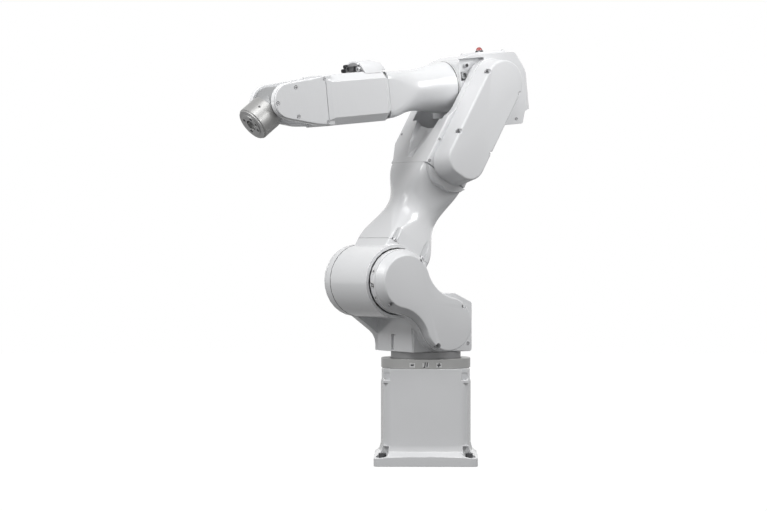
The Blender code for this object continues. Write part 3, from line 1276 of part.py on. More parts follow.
def build():
    clear_scene()
    paint_white = paint("white_paint", (0.62, 0.63, 0.65), 0.35)
    cover_white = paint("white_cover", (0.66, 0.67, 0.69), 0.4)
    grey = paint("grey_casting", (0.42, 0.43, 0.44), 0.5)
    machined = paint("machined_aluminium", (0.55, 0.55, 0.55), 0.35, 1.0)
    dark = paint("dark_steel", (0.08, 0.08, 0.085), 0.45, 1.0)
    black = paint("black_plastic", (0.02, 0.02, 0.022), 0.5)
    rubber = paint("belt_rubber", (0.015, 0.015, 0.015), 0.8)
    steel = paint("bolt_steel", (0.45, 0.45, 0.46), 0.3, 1.0)
    red = paint("lamp_red", (0.5, 0.05, 0.04), 0.25)

    j1 = joint("j1_axis", (0, 0, 0), (0, 0, J1_REST))
    j2 = joint("j2_axis", (SHOULDER_OFFSET, 0, SHOULDER_HEIGHT), (0, J2_REST, 0), j1)
    j3 = joint("j3_axis", (0, 0, UPPER_ARM_LENGTH), (0, -J3_REST, 0), j2)
    j4 = joint("j4_axis", (0, 0, 0), (0, 0, 0), j3)
    j5 = joint("j5_axis", (FOREARM_LENGTH, 0, 0), (0, J5_REST, 0), j4)
    j6 = joint("j6_axis", (0, 0, 0), (0, 0, 0), j5)

    part("base_casting", base_casting(), None, paint_white)
    part("base_bottom_cover", bottom_cover(), None, machined)
    for number, place in enumerate(bolt_places(), 1):
        part(f"base_bolt_{number}", socket_bolt(place), None, steel)
    part("j1_motor", j1_motor(), None, black)
    part("j1_reducer", j1_reducer(), None, machined)
    part("j1_ring", j1_ring(), None, machined)
    part("connector_panel", connector_panel(), None, grey)
    part("cable_connector", square_connector(CABLE_CONNECTOR_HEIGHT, CABLE_CONNECTOR), None, black)
    part("user_connector", trapezoid_connector(USER_CONNECTOR_HEIGHT, USER_CONNECTOR), None, steel)
    for number, way in enumerate((-1, 1), 1):
        port = push_in_port("X", (way * BASE_PORT_SPACING / 2, BASE_PORT_HEIGHT), PANEL_OUTER - GAP, -1)
        part(f"base_air_port_{number}", port, None, steel)

    part("turntable", turntable(), j1, machined)
    part("shoulder_casting", shoulder_casting(), j1, paint_white)
    part("shoulder_rear_cover", shoulder_rear_cover(), j1, cover_white)
    part("j2_motor", motor(J2_MOTOR, MOTOR_SIDE, J2_MOTOR_FACE - GAP, MOTOR_LENGTH), j1, black)
    part("j2_motor_pulley", pulley(J2_MOTOR, SMALL_PULLEY_RADIUS, J2_MOTOR_FACE, J2_BELT_LOW, BELT_WIDTH), j1,
         machined)
    part("j2_arm_pulley", pulley(J2_AXIS, LARGE_PULLEY_RADIUS, DRUM_NEAR + GAP, J2_BELT_LOW, BELT_WIDTH), j1,
         machined)
    part("j2_belt", belt(J2_MOTOR, SMALL_PULLEY_RADIUS, J2_AXIS, LARGE_PULLEY_RADIUS, J2_BELT_LOW, BELT_WIDTH,
                         BELT_THICK), j1, rubber)
    part("j2_reducer", j2_reducer(), j1, machined)
    part("j2_belt_cover", j2_belt_cover(), j1, cover_white)
    part("j2_bearing_cap", j2_bearing_cap(), j1, paint_white)

    part("arm_lower_casting", arm_lower_casting(), j2, paint_white)
    part("arm_neck_casting", arm_neck_casting(), j2, paint_white)
    part("arm_fork_casting", arm_fork_casting(), j2, paint_white)
    part("j3_motor", motor(J3_MOTOR, SMALL_MOTOR_SIDE, FORK_NEAR_INNER - GAP, SMALL_MOTOR_LENGTH), j2, black)
    small = pulley(J3_MOTOR, SMALL_PULLEY_RADIUS, FORK_NEAR_INNER, J3_BELT_LOW, BELT_WIDTH)
    part("j3_motor_pulley", small, j2, machined)
    large = pulley(J3_AXIS, LARGE_PULLEY_RADIUS, FORK_NEAR_INNER, J3_BELT_LOW, BELT_WIDTH)
    part("j3_arm_pulley", large, j2, machined)
    part("j3_belt", belt(J3_MOTOR, SMALL_PULLEY_RADIUS, J3_AXIS, LARGE_PULLEY_RADIUS, J3_BELT_LOW, BELT_WIDTH,
                         BELT_THICK), j2, rubber)
    part("j3_belt_cover", j3_belt_cover(), j2, cover_white)
    part("j3_far_cover", j3_far_cover(), j2, paint_white)

    part("j3_reducer", j3_reducer(), j3, machined)
    part("elbow_casting", elbow_casting(), j3, paint_white)
    part("elbow_top_cover", elbow_top_cover(), j3, cover_white)
    part("elbow_rear_cover", elbow_rear_cover(), j3, cover_white)
    part("j4_motor", j4_motor(), j3, black)
    part("j4_reducer", j4_reducer(), j3, machined)
    part("lamp_ring", lamp_ring(), j3, black)
    part("lamp_lens", lamp_lens(), j3, red)
    port = push_in_port("Y", (ELBOW_PORT_X, ELBOW_PORT_Z), POCKET_FLOOR + GAP, 1)
    part("elbow_air_port", port, j3, cover_white)
    part("elbow_connector", round_connector(), j3, dark)

    part("forearm_neck", forearm_neck(), j4, paint_white)
    part("forearm_body", forearm_body(), j4, paint_white)
    part("forearm_near_cover", forearm_side_cover(1), j4, cover_white)
    part("forearm_far_cover", forearm_side_cover(-1), j4, cover_white)
    part("connector_dome", connector_dome(), j4, cover_white)
    for number, place in enumerate(DOME_PORTS, 1):
        part(f"dome_air_port_{number}", dome_port(place), j4, dark)
    for number, place, way in ((5, WRIST_MOTOR_1, 1), (6, WRIST_MOTOR_2, -1)):
        part(f"j{number}_motor", wrist_motor(place, way), j4, black)
        small = wrist_pulley(place, WRIST_SMALL_PULLEY, way, TINE_INNER)
        part(f"j{number}_motor_pulley", small, j4, machined)
        large = wrist_pulley(FOREARM_LENGTH, WRIST_LARGE_PULLEY, way, TINE_INNER - GAP)
        part(f"j{number}_wrist_pulley", large, j4, machined)
        part(f"j{number}_belt", wrist_belt(place, way), j4, rubber)

    part("wrist_housing", wrist_housing(), j5, grey)
    part("tool_flange", tool_flange(), j6, machined)


build()
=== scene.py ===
"""Six-axis robot arm: finishes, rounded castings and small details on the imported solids, with its camera and light.

Lengths are in metres. Each detail is worked out in the frame of the link that carries it, with X forward, Y to the
left and Z up, and then turned to the pose at rest.
"""

import json
import math
from itertools import product

import bmesh
import bpy
import numpy as np
from mathutils import Matrix, Vector


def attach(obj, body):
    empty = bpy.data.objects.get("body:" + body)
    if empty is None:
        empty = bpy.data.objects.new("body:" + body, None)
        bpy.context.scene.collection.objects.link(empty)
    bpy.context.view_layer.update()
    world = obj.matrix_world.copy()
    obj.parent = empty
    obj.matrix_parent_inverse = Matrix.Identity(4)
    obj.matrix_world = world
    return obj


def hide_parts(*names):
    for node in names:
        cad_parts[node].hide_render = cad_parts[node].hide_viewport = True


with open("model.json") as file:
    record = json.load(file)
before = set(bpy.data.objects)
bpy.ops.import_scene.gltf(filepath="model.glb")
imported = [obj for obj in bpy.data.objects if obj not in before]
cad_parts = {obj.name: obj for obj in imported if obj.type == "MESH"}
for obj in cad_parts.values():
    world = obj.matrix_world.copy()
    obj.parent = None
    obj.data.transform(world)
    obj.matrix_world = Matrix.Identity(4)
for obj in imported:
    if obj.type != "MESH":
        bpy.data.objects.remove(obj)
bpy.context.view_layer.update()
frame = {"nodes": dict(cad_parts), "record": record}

# Pose at rest
J1_REST = -57.2
J2_REST = -29.8
J3_REST = 35.9
J5_REST = 32.6
SHOULDER_OFFSET = 0.100
SHOULDER_HEIGHT = 0.320
UPPER_ARM_LENGTH = 0.400
FOREARM_LENGTH = 0.400


def link(parent, place, axis, turn):
    """Frame of a link: its parent's, moved to place and turned about one axis by degrees."""
    return parent @ Matrix.Translation(place) @ Matrix.Rotation(math.radians(turn), 4, axis)


BASE = Matrix.Identity(4)
SHOULDER = link(BASE, (0, 0, 0), "Z", J1_REST)
ARM = link(SHOULDER, (SHOULDER_OFFSET, 0, SHOULDER_HEIGHT), "Y", J2_REST)
ELBOW = link(ARM, (0, 0, UPPER_ARM_LENGTH), "Y", J3_REST)
WRIST = link(ELBOW, (FOREARM_LENGTH, 0, 0), "Y", J5_REST)


class Value:
    """A socket that gives a value. Arithmetic on it adds Math nodes."""

    def __init__(self, tree, socket):
        self.tree = tree
        self.socket = socket

    def maths(self, operation, first, second):
        return self.tree.node("ShaderNodeMath", {"operation": operation}, {0: first, 1: second})

    def __add__(self, other):
        return self.maths("ADD", self, other)

    def __sub__(self, other):
        return self.maths("SUBTRACT", self, other)

    def __mul__(self, other):
        return self.maths("MULTIPLY", self, other)

    def __rsub__(self, other):
        return self.maths("SUBTRACT", other, self)

    __radd__ = __add__
    __rmul__ = __mul__

    def most(self, other):
        """The larger of two values."""
        return self.maths("MAXIMUM", self, other)


class Tree:
    """The nodes of a material or of the world."""

    def __init__(self, holder):
        holder.use_nodes = True
        self.nodes = holder.node_tree.nodes
        self.links = holder.node_tree.links

    def node(self, kind, settings=None, sockets=None, output=0):
        """Adds a node. Its settings come first, and then its sockets' values or links."""
        made = self.nodes.new(kind)
        for setting, value in (settings or {}).items():
            setattr(made, setting, value)
        for socket, value in (sockets or {}).items():
            if isinstance(value, Value):
                self.links.new(value.socket, made.inputs[socket])
            else:
                made.inputs[socket].default_value = value
        return Value(self, made.outputs[output])

    def rays(self, *kinds):
        """For each kind of ray, a value that is 1 on such a ray and 0 on any other."""
        return [self.node("ShaderNodeLightPath", output=f"Is {kind} Ray") for kind in kinds]


class Finish(Tree):
    """A node-based material round a Principled shader. fixed holds the sockets that are the same all over."""

    def __init__(self, name, fixed=None):
        self.material = bpy.data.materials.new(name)
        super().__init__(self.material)
        self.shader = self.nodes["Principled BSDF"]
        for socket, value in (fixed or {}).items():
            self.shader.inputs[socket].default_value = value
        self.place = self.node("ShaderNodeTexCoord", output="Object")

    def grain(self, scale, detail=2.0, stretch=(1, 1, 1)):
        """Noise on Object coordinates, from 0 to 1. stretch scales each axis."""
        place = self.node("ShaderNodeMapping", {}, {"Vector": self.place, "Scale": stretch})
        return self.node("ShaderNodeTexNoise", {}, {"Vector": place, "Scale": scale, "Detail": detail})

    def mixed(self, share, first, second):
        """A colour between two, by a share from 0 to 1."""
        return self.node("ShaderNodeMix", {"data_type": "RGBA"}, {0: share, 6: first, 7: second}, output=2)

    def feed(self, socket, value):
        self.links.new(value.socket, self.shader.inputs[socket])

    def bump(self, height, strength, distance):
        self.feed("Normal", self.node("ShaderNodeBump", {}, {"Height": height, "Strength": strength,
                                                            "Distance": distance}))


def tone(red, green, blue):
    return (red, green, blue, 1.0)


def shaded(colour, share):
    """A colour made darker to a share of itself."""
    return tone(*(share * part for part in colour))


def painted(name, colour, rough, coat, peel):
    """Powder paint: a soft orange peel, faint cloudiness, and rounded edges that are smoother and lighter: a painted
    highlight where they catch the light, with a little rubbed paint.
    """
    finish = Finish(name, {"Coat Weight": coat, "Coat Roughness": 0.12, "IOR": 1.5})
    cloud = finish.grain(7.0, 3.0)
    dust = finish.grain(60.0, 4.0)
    sheen_and_rub = finish.node("ShaderNodeAttribute", {"attribute_name": "edge"}, output="Fac") * (0.35 + dust * 0.6)
    base = finish.mixed(cloud * 0.3 + dust * 0.25, tone(*colour), shaded(colour, 0.955))
    # The rounded edges are mixed towards a lighter colour: a painted highlight, with a little rubbed paint.
    finish.feed("Base Color", finish.mixed(sheen_and_rub, base, tone(*SHEEN_AND_RUB)))
    finish.feed("Roughness", rough + cloud * 0.015 + dust * 0.05 - sheen_and_rub * 0.06)
    finish.bump(finish.grain(520.0, 2.0) + finish.grain(1900.0, 2.0) * 0.4, peel, 0.00035)
    return finish.material


def metal(name, colour, rough, stretch, depth):
    """Machined or cast metal. stretch draws the tool marks out along the axes where it is small."""
    finish = Finish(name, {"Metallic": 0.85})
    marks = finish.grain(380.0, 3.0, stretch)
    cloud = finish.grain(14.0, 3.0)
    finish.feed("Base Color", finish.mixed(marks * 0.6 + cloud * 0.3, shaded(colour, 0.82), tone(*colour)))
    finish.feed("Roughness", rough + marks * 0.16 + cloud * 0.06)
    finish.bump(marks, depth, 0.0002)
    return finish.material


def moulded(name, colour, rough, depth):
    """Moulded plastic or rubber with a fine spark-eroded grain."""
    finish = Finish(name)
    grain = finish.grain(900.0, 2.0)
    cloud = finish.grain(30.0, 2.0)
    finish.feed("Base Color", finish.mixed(cloud * 0.7, tone(*colour), shaded(colour, 0.75)))
    finish.feed("Roughness", rough + grain * 0.1)
    finish.bump(grain, depth, 0.0002)
    return finish.material


def lens_finish():
    """The lamp's red lens with its ribbed inside: two reds, mixed by noise that is drawn out along Z."""
    finish = Finish("lamp_red", {"Roughness": 0.12, "Coat Weight": 0.6, "Coat Roughness": 0.05})
    ribs = finish.grain(300.0, 1.0, (1, 1, 0.1))
    finish.feed("Base Color", finish.mixed(ribs, tone(0.42, 0.035, 0.030), tone(0.28, 0.020, 0.018)))
    finish.bump(ribs, 0.15, 0.0003)
    return finish.material


# Lighter colour of the rounded edges: a painted highlight, with a little rubbed paint
SHEEN_AND_RUB = (0.86, 0.86, 0.87)
paint_white = painted("white_paint", (0.775, 0.782, 0.795), 0.22, 0.60, 0.08)
cover_white = painted("white_cover", (0.770, 0.777, 0.790), 0.33, 0.15, 0.14)
ring_metal = metal("turned_ring", (0.43, 0.43, 0.425), 0.24, (1, 1, 26), 0.25)
flange_metal = metal("flange_metal", (0.38, 0.38, 0.375), 0.26, (9, 9, 9), 0.12)
# A lighter copy of the flange's metal for its machined face, made lighter still as painted light in place of the
# floor's reflection
flange_face = metal("flange_face", (0.50, 0.50, 0.50), 0.34, (3, 3, 3), 0.20)
plate_metal = metal("plate_metal", (0.30, 0.30, 0.305), 0.38, (2, 2, 2), 0.20)
screw_steel = metal("screw_steel", (0.42, 0.42, 0.43), 0.30, (3, 3, 3), 0.10)
cast_grey = metal("cast_grey", (0.34, 0.345, 0.35), 0.42, (1, 1, 1), 0.30)
dark_steel = metal("dark_steel", (0.10, 0.10, 0.105), 0.34, (2, 2, 2), 0.18)
bright_steel = metal("bright_steel", (0.55, 0.55, 0.56), 0.25, (3, 3, 3), 0.12)
motor_black = moulded("motor_black", (0.022, 0.022, 0.024), 0.42, 0.15)
black_plastic = moulded("black_plastic", (0.030, 0.030, 0.033), 0.38, 0.20)
# A dark finish for thin bands in the joints' gaps: painted shade for the shadow in each gap
painted_gap_shade = moulded("painted_gap_shade", (0.085, 0.085, 0.090), 0.60, 0.10)
grey_plastic = moulded("grey_plastic", (0.085, 0.085, 0.088), 0.42, 0.18)
belt_rubber = moulded("belt_rubber", (0.018, 0.018, 0.018), 0.72, 0.35)
ink = moulded("mark_ink", (0.045, 0.045, 0.050), 0.50, 0.05)
mark_white = moulded("mark_white", (0.80, 0.80, 0.80), 0.45, 0.05)
lamp_red = lens_finish()

SLOTS = {"white_paint": paint_white, "white_cover": cover_white, "machined_aluminium": ring_metal,
         "grey_casting": cast_grey, "bright_steel": bright_steel, "dark_steel": dark_steel,
         "motor_black": motor_black, "black_plastic": black_plastic, "belt_rubber": belt_rubber,
         "lamp_red": lamp_red}


def dress_nodes():
    """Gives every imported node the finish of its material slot."""
    for node in frame["nodes"].values():
        was = node.data.materials[0].name if node.data.materials and node.data.materials[0] else ""
        finish = next((SLOTS[slot] for slot in SLOTS if was.startswith(slot)), cast_grey)
        node.data.materials.clear()
        node.data.materials.append(finish)


# Points nearer than this are one point, and faces that meet at less than this angle are one face
WELD = 0.00002
FLAT = math.radians(0.8)


def settle(name, mesh, body, finish, slot, *nodes):
    """Links a finished mesh as a piece that rides on a body, and stands for nodes where they are named."""
    mesh.materials.clear()
    mesh.materials.append(finish)
    piece = bpy.data.objects.new(name, mesh)
    bpy.context.scene.collection.objects.link(piece)
    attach(piece, body)
    if nodes:
        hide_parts(*nodes)
    return piece


def merged(mesh):
    """A bmesh of a mesh, with its doubled points and its flat faces joined."""
    bm = bmesh.new()
    bm.from_mesh(mesh)
    bmesh.ops.remove_doubles(bm, verts=bm.verts, dist=WELD)
    bmesh.ops.dissolve_limit(bm, angle_limit=FLAT, verts=bm.verts, edges=bm.edges)
    return bm


def creased(mesh, angle):
    """Shades a mesh smoothly, and keeps its edges sharper than an angle in degrees."""
    mesh.shade_smooth()
    mesh.set_sharp_from_angle(angle=math.radians(angle))


def softened(node, width, finish, slot, sharp=28, carve=(), facing=None):
    """A merged copy of a node. Its flat faces are joined, its edges rounded by width and marked for the paint's
    lighter edges (a painted highlight, with a little rubbed paint), and its corners weighted by area so that flat
    faces stay flat. carve holds meshes that are sunk first.
    facing gives a direction, and the finish of the faces that look that way."""
    bm = merged(frame["nodes"][node].data)
    mesh = bpy.data.meshes.new(node + "_soft")
    bm.to_mesh(mesh)
    bm.free()
    for tool in carve:
        mesh = sunk(mesh, tool)
    bm = merged(mesh)
    sheen_and_rub = bm.faces.layers.float.new("edge")
    hard = [edge for edge in bm.edges
            if len(edge.link_faces) == 2 and edge.calc_face_angle() > math.radians(sharp)]
    made = bmesh.ops.bevel(bm, geom=hard, offset=width, offset_type="WIDTH", segments=2, profile=0.5,
                           affect="EDGES", clamp_overlap=False, loop_slide=True)
    # The bevel's faces are marked for the paint's lighter edges: a painted highlight, with a little rubbed paint.
    for face in made["faces"]:
        face[sheen_and_rub] = 1.0
    bm.to_mesh(mesh)
    bm.free()
    creased(mesh, 44)
    bodies = frame["record"]["behaviour"]["bodies"]
    body = next(name for name, nodes in bodies.items() if node in nodes)
    piece = settle(node + "_soft", mesh, body, finish, slot, node)
    if facing:
        way, second = facing
        mesh.materials.append(second)
        for polygon in mesh.polygons:
            polygon.material_index = int(polygon.normal.dot(way) > 0.9)
    weight = piece.modifiers.new("weight", "WEIGHTED_NORMAL")
    weight.keep_sharp = True
    weight.weight = 80


def sunk(mesh, tool):
    """A mesh with the volume of another mesh taken out of it."""
    held, cutter = bpy.data.objects.new("held", mesh), bpy.data.objects.new("cutter", tool)
    for item in (held, cutter):
        bpy.context.scene.collection.objects.link(item)
    modifier = held.modifiers.new("sink", "BOOLEAN")
    modifier.operation = "DIFFERENCE"
    modifier.solver = "EXACT"
    modifier.object = cutter
    graph = bpy.context.evaluated_depsgraph_get()
    result = bpy.data.meshes.new_from_object(held.evaluated_get(graph))
    for item in (held, cutter):
        bpy.data.objects.remove(item, do_unlink=True)
    return result


class Shape:
    """Collects surfaces in one link's frame, and makes one mesh of them."""

    def __init__(self, place):
        self.place = np.array(place)
        self.points = []
        self.faces = []
        self.count = 0

    def grid(self, points, closed=True):
        """A surface over points in rows and columns. Where it is closed, its columns close round, and a fan to the
        middle of a row caps its first and its last."""
        rows, columns = points.shape[:2]
        wrap = columns if closed else columns - 1
        row, column = np.meshgrid(np.arange(rows - 1), np.arange(wrap), indexing="ij")
        here = row * columns + column
        beside = row * columns + (column + 1) % columns
        quads = np.stack([here, beside, beside + columns, here + columns], axis=-1).reshape(-1, 4) + self.count
        self.faces += quads.tolist()
        self.points.append(points.reshape(-1, 3))
        start = self.count
        self.count += rows * columns
        for index in (0, rows - 1) if closed else ():
            self.points.append(points[index].mean(axis=0)[None])
            ring = start + index * columns + np.arange(wrap)
            ahead = start + index * columns + (np.arange(wrap) + 1) % columns
            hub = np.full(wrap, self.count)
            self.faces += np.stack([ring, ahead, hub], axis=-1).tolist()
            self.count += 1
        return self

    def mesh(self, name, sharp=34):
        """One mesh in world coordinates, with its faces turned outwards and its creases kept."""
        points = np.concatenate(self.points)
        world = points @ self.place[:3, :3].T + self.place[:3, 3]
        mesh = bpy.data.meshes.new(name)
        mesh.from_pydata(world.tolist(), [], self.faces)
        bm = bmesh.new()
        bm.from_mesh(mesh)
        bmesh.ops.remove_doubles(bm, verts=bm.verts, dist=0.000005)
        bmesh.ops.dissolve_degenerate(bm, edges=bm.edges, dist=0.000002)
        bmesh.ops.recalc_face_normals(bm, faces=bm.faces)
        bm.to_mesh(mesh)
        bm.free()
        creased(mesh, sharp)
        return mesh


def along(axis, across, upward, distance):
    """Points from arrays of places across, upward and along one axis."""
    across, upward, distance = np.broadcast_arrays(across, upward, distance)
    order = {"X": (distance, across, upward), "Y": (across, distance, upward), "Z": (across, upward, distance)}
    return np.stack(order[axis], axis=-1)


def turned(profile, axis, centre, count):
    """A profile of (radius, height) revolved: radius times the cosine and sine of the angle, at each height."""
    profile = np.array(profile, float)
    angle = np.linspace(0, 2 * np.pi, count, endpoint=False)
    radius, height = profile[:, :1], profile[:, 1:]
    return along(axis, centre[0] + radius * np.cos(angle), centre[1] + radius * np.sin(angle), height)


def screw(axis, centre, seat, way, radius, height):
    """A socket head screw: round sides with a small chamfer, and a hexagon of half its width sunk in its head. The
    hexagon's radius is its flat's distance over the cosine of the angle from the nearest flat."""
    angle = np.linspace(0, 2 * np.pi, 24, endpoint=False)
    full = np.full(24, radius)
    flat = 0.5 * radius * math.cos(math.pi / 6) / np.cos((angle % (np.pi / 3)) - np.pi / 6)
    rows = [(full, 0.0), (full, 0.86), (full * 0.93, 1.0), (flat * 1.05, 1.0), (flat, 0.93), (flat, 0.35)]
    return np.stack([along(axis, centre[0] + r * np.cos(angle), centre[1] + r * np.sin(angle),
                           seat + way * height * h) for r, h in rows])


# Letters: half their thickness, how much bolder they are by size, and their slant
LETTER_DEPTH = 0.00012
LETTER_WEIGHT = 0.045
LETTER_SLANT = 0.15


def text_shape(words, size, place, bend):
    """Flat letters of a height, centred on the origin. bend turns their across, upward and outward arrays into
    points in a link's frame."""
    curve = bpy.data.curves.new("words", "FONT")
    curve.body = words
    curve.size = size
    curve.align_x = "CENTER"
    curve.align_y = "CENTER"
    curve.extrude = LETTER_DEPTH
    curve.offset = size * LETTER_WEIGHT
    curve.shear = LETTER_SLANT
    curve.resolution_u = 4
    held = bpy.data.objects.new("words", curve)
    bpy.context.scene.collection.objects.link(held)
    mesh = bpy.data.meshes.new_from_object(held.evaluated_get(bpy.context.evaluated_depsgraph_get()))
    bpy.data.objects.remove(held, do_unlink=True)
    flat = np.empty(len(mesh.vertices) * 3)
    mesh.vertices.foreach_get("co", flat)
    flat = flat.reshape(-1, 3)
    flat -= (flat.min(axis=0) + flat.max(axis=0)) / 2
    points = bend(flat[:, 0], flat[:, 1], flat[:, 2])
    matrix = np.array(place)
    mesh.vertices.foreach_set("co", (points @ matrix[:3, :3].T + matrix[:3, 3]).ravel())
    mesh.update()
    return mesh


def section(front, rear, near, far, corner, steps=10):
    """Outlines in X and Y: a rectangle whose corners are quarter circles. Each size holds one value for a row."""
    quarter = np.linspace(0, np.pi / 2, steps)
    across, upward = [], []
    for number, (u, v) in enumerate(((front - corner, near - corner), (corner - rear, near - corner),
                                     (corner - rear, corner - far), (front - corner, corner - far))):
        angle = quarter + number * np.pi / 2
        across.append(u[:, None] + corner[:, None] * np.cos(angle))
        upward.append(v[:, None] + corner[:, None] * np.sin(angle))
    return np.concatenate(across, axis=1), np.concatenate(upward, axis=1)


def eased(share):
    """From 0 to 1 along half a cosine wave."""
    return 0.5 - 0.5 * np.cos(np.pi * share)


# Heights over the shoulder axis: the neck's two ends, its waist and the motor above it
LOWER_SPLIT = 0.0603
UPPER_SPLIT = 0.210
WAIST = 0.135
J3_MOTOR = 0.244
# The ledge's radius and its flat rear, and the places of the neck's two screws
LEDGE_RADIUS = 0.060
LEDGE_REAR = -0.0462
NECK_SCREWS = (0.036, -0.028)


def arm_neck():
    """The upper arm's neck: at each height its sides and corners run from the square end to the round waist by
    half a cosine wave. The ledge under the belt cover is an arc about the motor's axis, carried along Y. Two screws
    stand in hollows that are turned about them."""
    shape = Shape(ARM)
    waist = np.array((0.043, 0.0465, 0.0465, 0.043))
    rows, heights = [], []
    for end, place, shares in (((0.046, 0.048, 0.057, 0.053), LOWER_SPLIT, np.linspace(0, 1, 26)),
                               ((0.050, 0.043, 0.057, 0.053), UPPER_SPLIT, np.linspace(1, 0, 26)[1:])):
        blend = eased(shares)[:, None]
        rows.append(np.hstack([np.array(end) + (waist - end) * blend, 0.008 + 0.035 * blend]))
        heights.append(place + (WAIST - place) * shares)
    rows, heights = np.concatenate(rows), np.concatenate(heights)
    across, upward = section(*rows.T)
    shape.grid(np.stack([across, upward, np.broadcast_to(heights[:, None], across.shape)], axis=-1))
    reach = math.acos((J3_MOTOR - UPPER_SPLIT) / LEDGE_RADIUS)
    angle = np.linspace(-reach, reach, 40) - np.pi / 2
    ledge = np.stack([LEDGE_RADIUS * np.cos(angle), J3_MOTOR + LEDGE_RADIUS * np.sin(angle)], axis=-1)
    middle = np.array((0.0, J3_MOTOR - 0.050))
    inward = (middle - ledge) / np.linalg.norm(middle - ledge, axis=1)[:, None]
    rings = []
    for height, inset in ((0.045, 0.0), (0.0500, 0.0002), (0.0520, 0.0010), (0.0612, 0.0056), (0.062, 0.0064)):
        ring = ledge + inward * inset
        ring[:, 1] = np.minimum(ring[:, 1], UPPER_SPLIT)
        ring[:, 0] = np.maximum(ring[:, 0], LEDGE_REAR)
        rings.append(along("Y", ring[:, 0], ring[:, 1], height))
    shape.grid(np.stack(rings))
    mesh = shape.mesh("arm_neck", 40)
    profile = [(0.0058, 0.0599), (0.0062, 0.070), (0.0060, 0.086), (0.0052, 0.104), (0.001, 0.112)]
    bolts = Shape(ARM)
    for u in NECK_SCREWS:
        mesh = sunk(mesh, Shape(ARM).grid(turned(profile, "Z", (u, 0.0575), 40)).mesh("hollow"))
        bolts.grid(screw("Z", (u, 0.0545), 0.0601, 1, 0.0034, 0.0045))
    creased(mesh, 32)
    settle("arm_neck", mesh, "upper_arm", paint_white, "white_paint", "arm_neck_casting")
    settle("arm_neck_screws", bolts.mesh("arm_neck_screws"), "upper_arm", screw_steel, "dark_steel")


# How far the forearm's body lies below the forearm's axis
BODY_DROP = 0.0045


def forearm_throat():
    """The forearm's neck: a circle that narrows to the waist and then squares off towards the body, with each
    size following half a cosine wave. The square end lies a little lower."""
    seam, waist, end, slim = 0.0603, 0.132, 0.200, 0.036
    first, second = np.linspace(0, 1, 30), np.linspace(1, 0, 24)[1:]
    ease_first, ease_second = 1 - eased(first), 1 - eased(second)
    half = np.concatenate([slim + 0.0095 * ease_first, slim + 0.0045 * ease_second])
    corner = np.concatenate([half[:first.size] * 0.9995, slim - 0.022 * ease_second])
    place = np.concatenate([seam + (waist - seam) * first, end + (waist - end) * second])
    drop = np.concatenate([np.zeros(first.size), BODY_DROP * ease_second])
    across, upward = section(half, half, half, half, corner, 14)
    points = np.stack([np.broadcast_to(place[:, None], across.shape), across, upward - drop[:, None]], axis=-1)
    mesh = Shape(ELBOW).grid(points).mesh("forearm_throat", 50)
    settle("forearm_throat", mesh, "forearm", paint_white, "white_paint", "forearm_neck")


def lobes(first, first_radius, second, second_radius, waist, steps=40):
    """Outline of two round lobes joined by hollow arcs: the hollows' middles lie waist plus each lobe's radius
    from the lobes' middles."""
    first, second = np.array(first), np.array(second)
    span = second - first
    length, heading = np.hypot(*span), np.arctan2(span[1], span[0])
    near, far = first_radius + waist, second_radius + waist
    lift = np.arccos((near ** 2 + length ** 2 - far ** 2) / (2 * near * length))

    def sweep(centre, radius, start, turn, count):
        angle = start + np.linspace(0, turn, count)
        return np.stack([centre[0] + radius * np.cos(angle), centre[1] + radius * np.sin(angle)], axis=-1)

    def facing(start, end):
        return np.arctan2(end[1] - start[1], end[0] - start[0])

    left = first + near * np.array((np.cos(heading + lift), np.sin(heading + lift)))
    right = first + near * np.array((np.cos(heading - lift), np.sin(heading - lift)))
    right_turn = (facing(right, second) - facing(right, first) + np.pi) % (2 * np.pi) - np.pi
    left_turn = (facing(left, first) - facing(left, second) + np.pi) % (2 * np.pi) - np.pi
    around = (facing(second, left) - facing(second, right)) % (2 * np.pi)
    return np.concatenate([sweep(first, first_radius, heading + lift, 2 * np.pi - 2 * lift, steps * 2),
                           sweep(right, waist, facing(right, first), right_turn, steps // 2)[1:-1],
                           sweep(second, second_radius, facing(second, right), around, steps * 2),
                           sweep(left, waist, facing(left, second), left_turn, steps // 2)[1:-1]])


def band(first, second, radius, steps=14):
    """Outline of two half circles of one radius joined by straight lines."""
    first, second = np.array(first), np.array(second)
    heading = np.arctan2(*(second - first)[::-1])
    half = np.linspace(np.pi / 2, 3 * np.pi / 2, steps)
    ends = [(first, heading + half), (second, heading + half + np.pi)]
    return np.concatenate([np.stack([c[0] + radius * np.cos(a), c[1] + radius * np.sin(a)], axis=-1)
                           for c, a in ends])


def cover_rows(outline, low, high, soft, inset):
    """Rings of a drafted cover: outline(draft, inset) at each height, and a quarter circle round its face."""
    turn = np.linspace(0, np.pi / 2, 7)
    rings = [along("Y", *outline(0.0, inset).T, low)]
    for share in (0.35, 0.7):
        rings.append(along("Y", *outline(share, inset).T, low + (high - soft - low) * share))
    for angle in turn:
        ring = outline(1.0, inset + soft * (1 - np.cos(angle)))
        rings.append(along("Y", *ring.T, high - soft + soft * np.sin(angle)))
    return np.stack(rings)


# The belt covers' walls, the walls round their screw pockets, and the pockets' radius
COVER_WALL = 0.0025
POCKET_WALL = 0.0018
POCKET_RADIUS = 0.0046


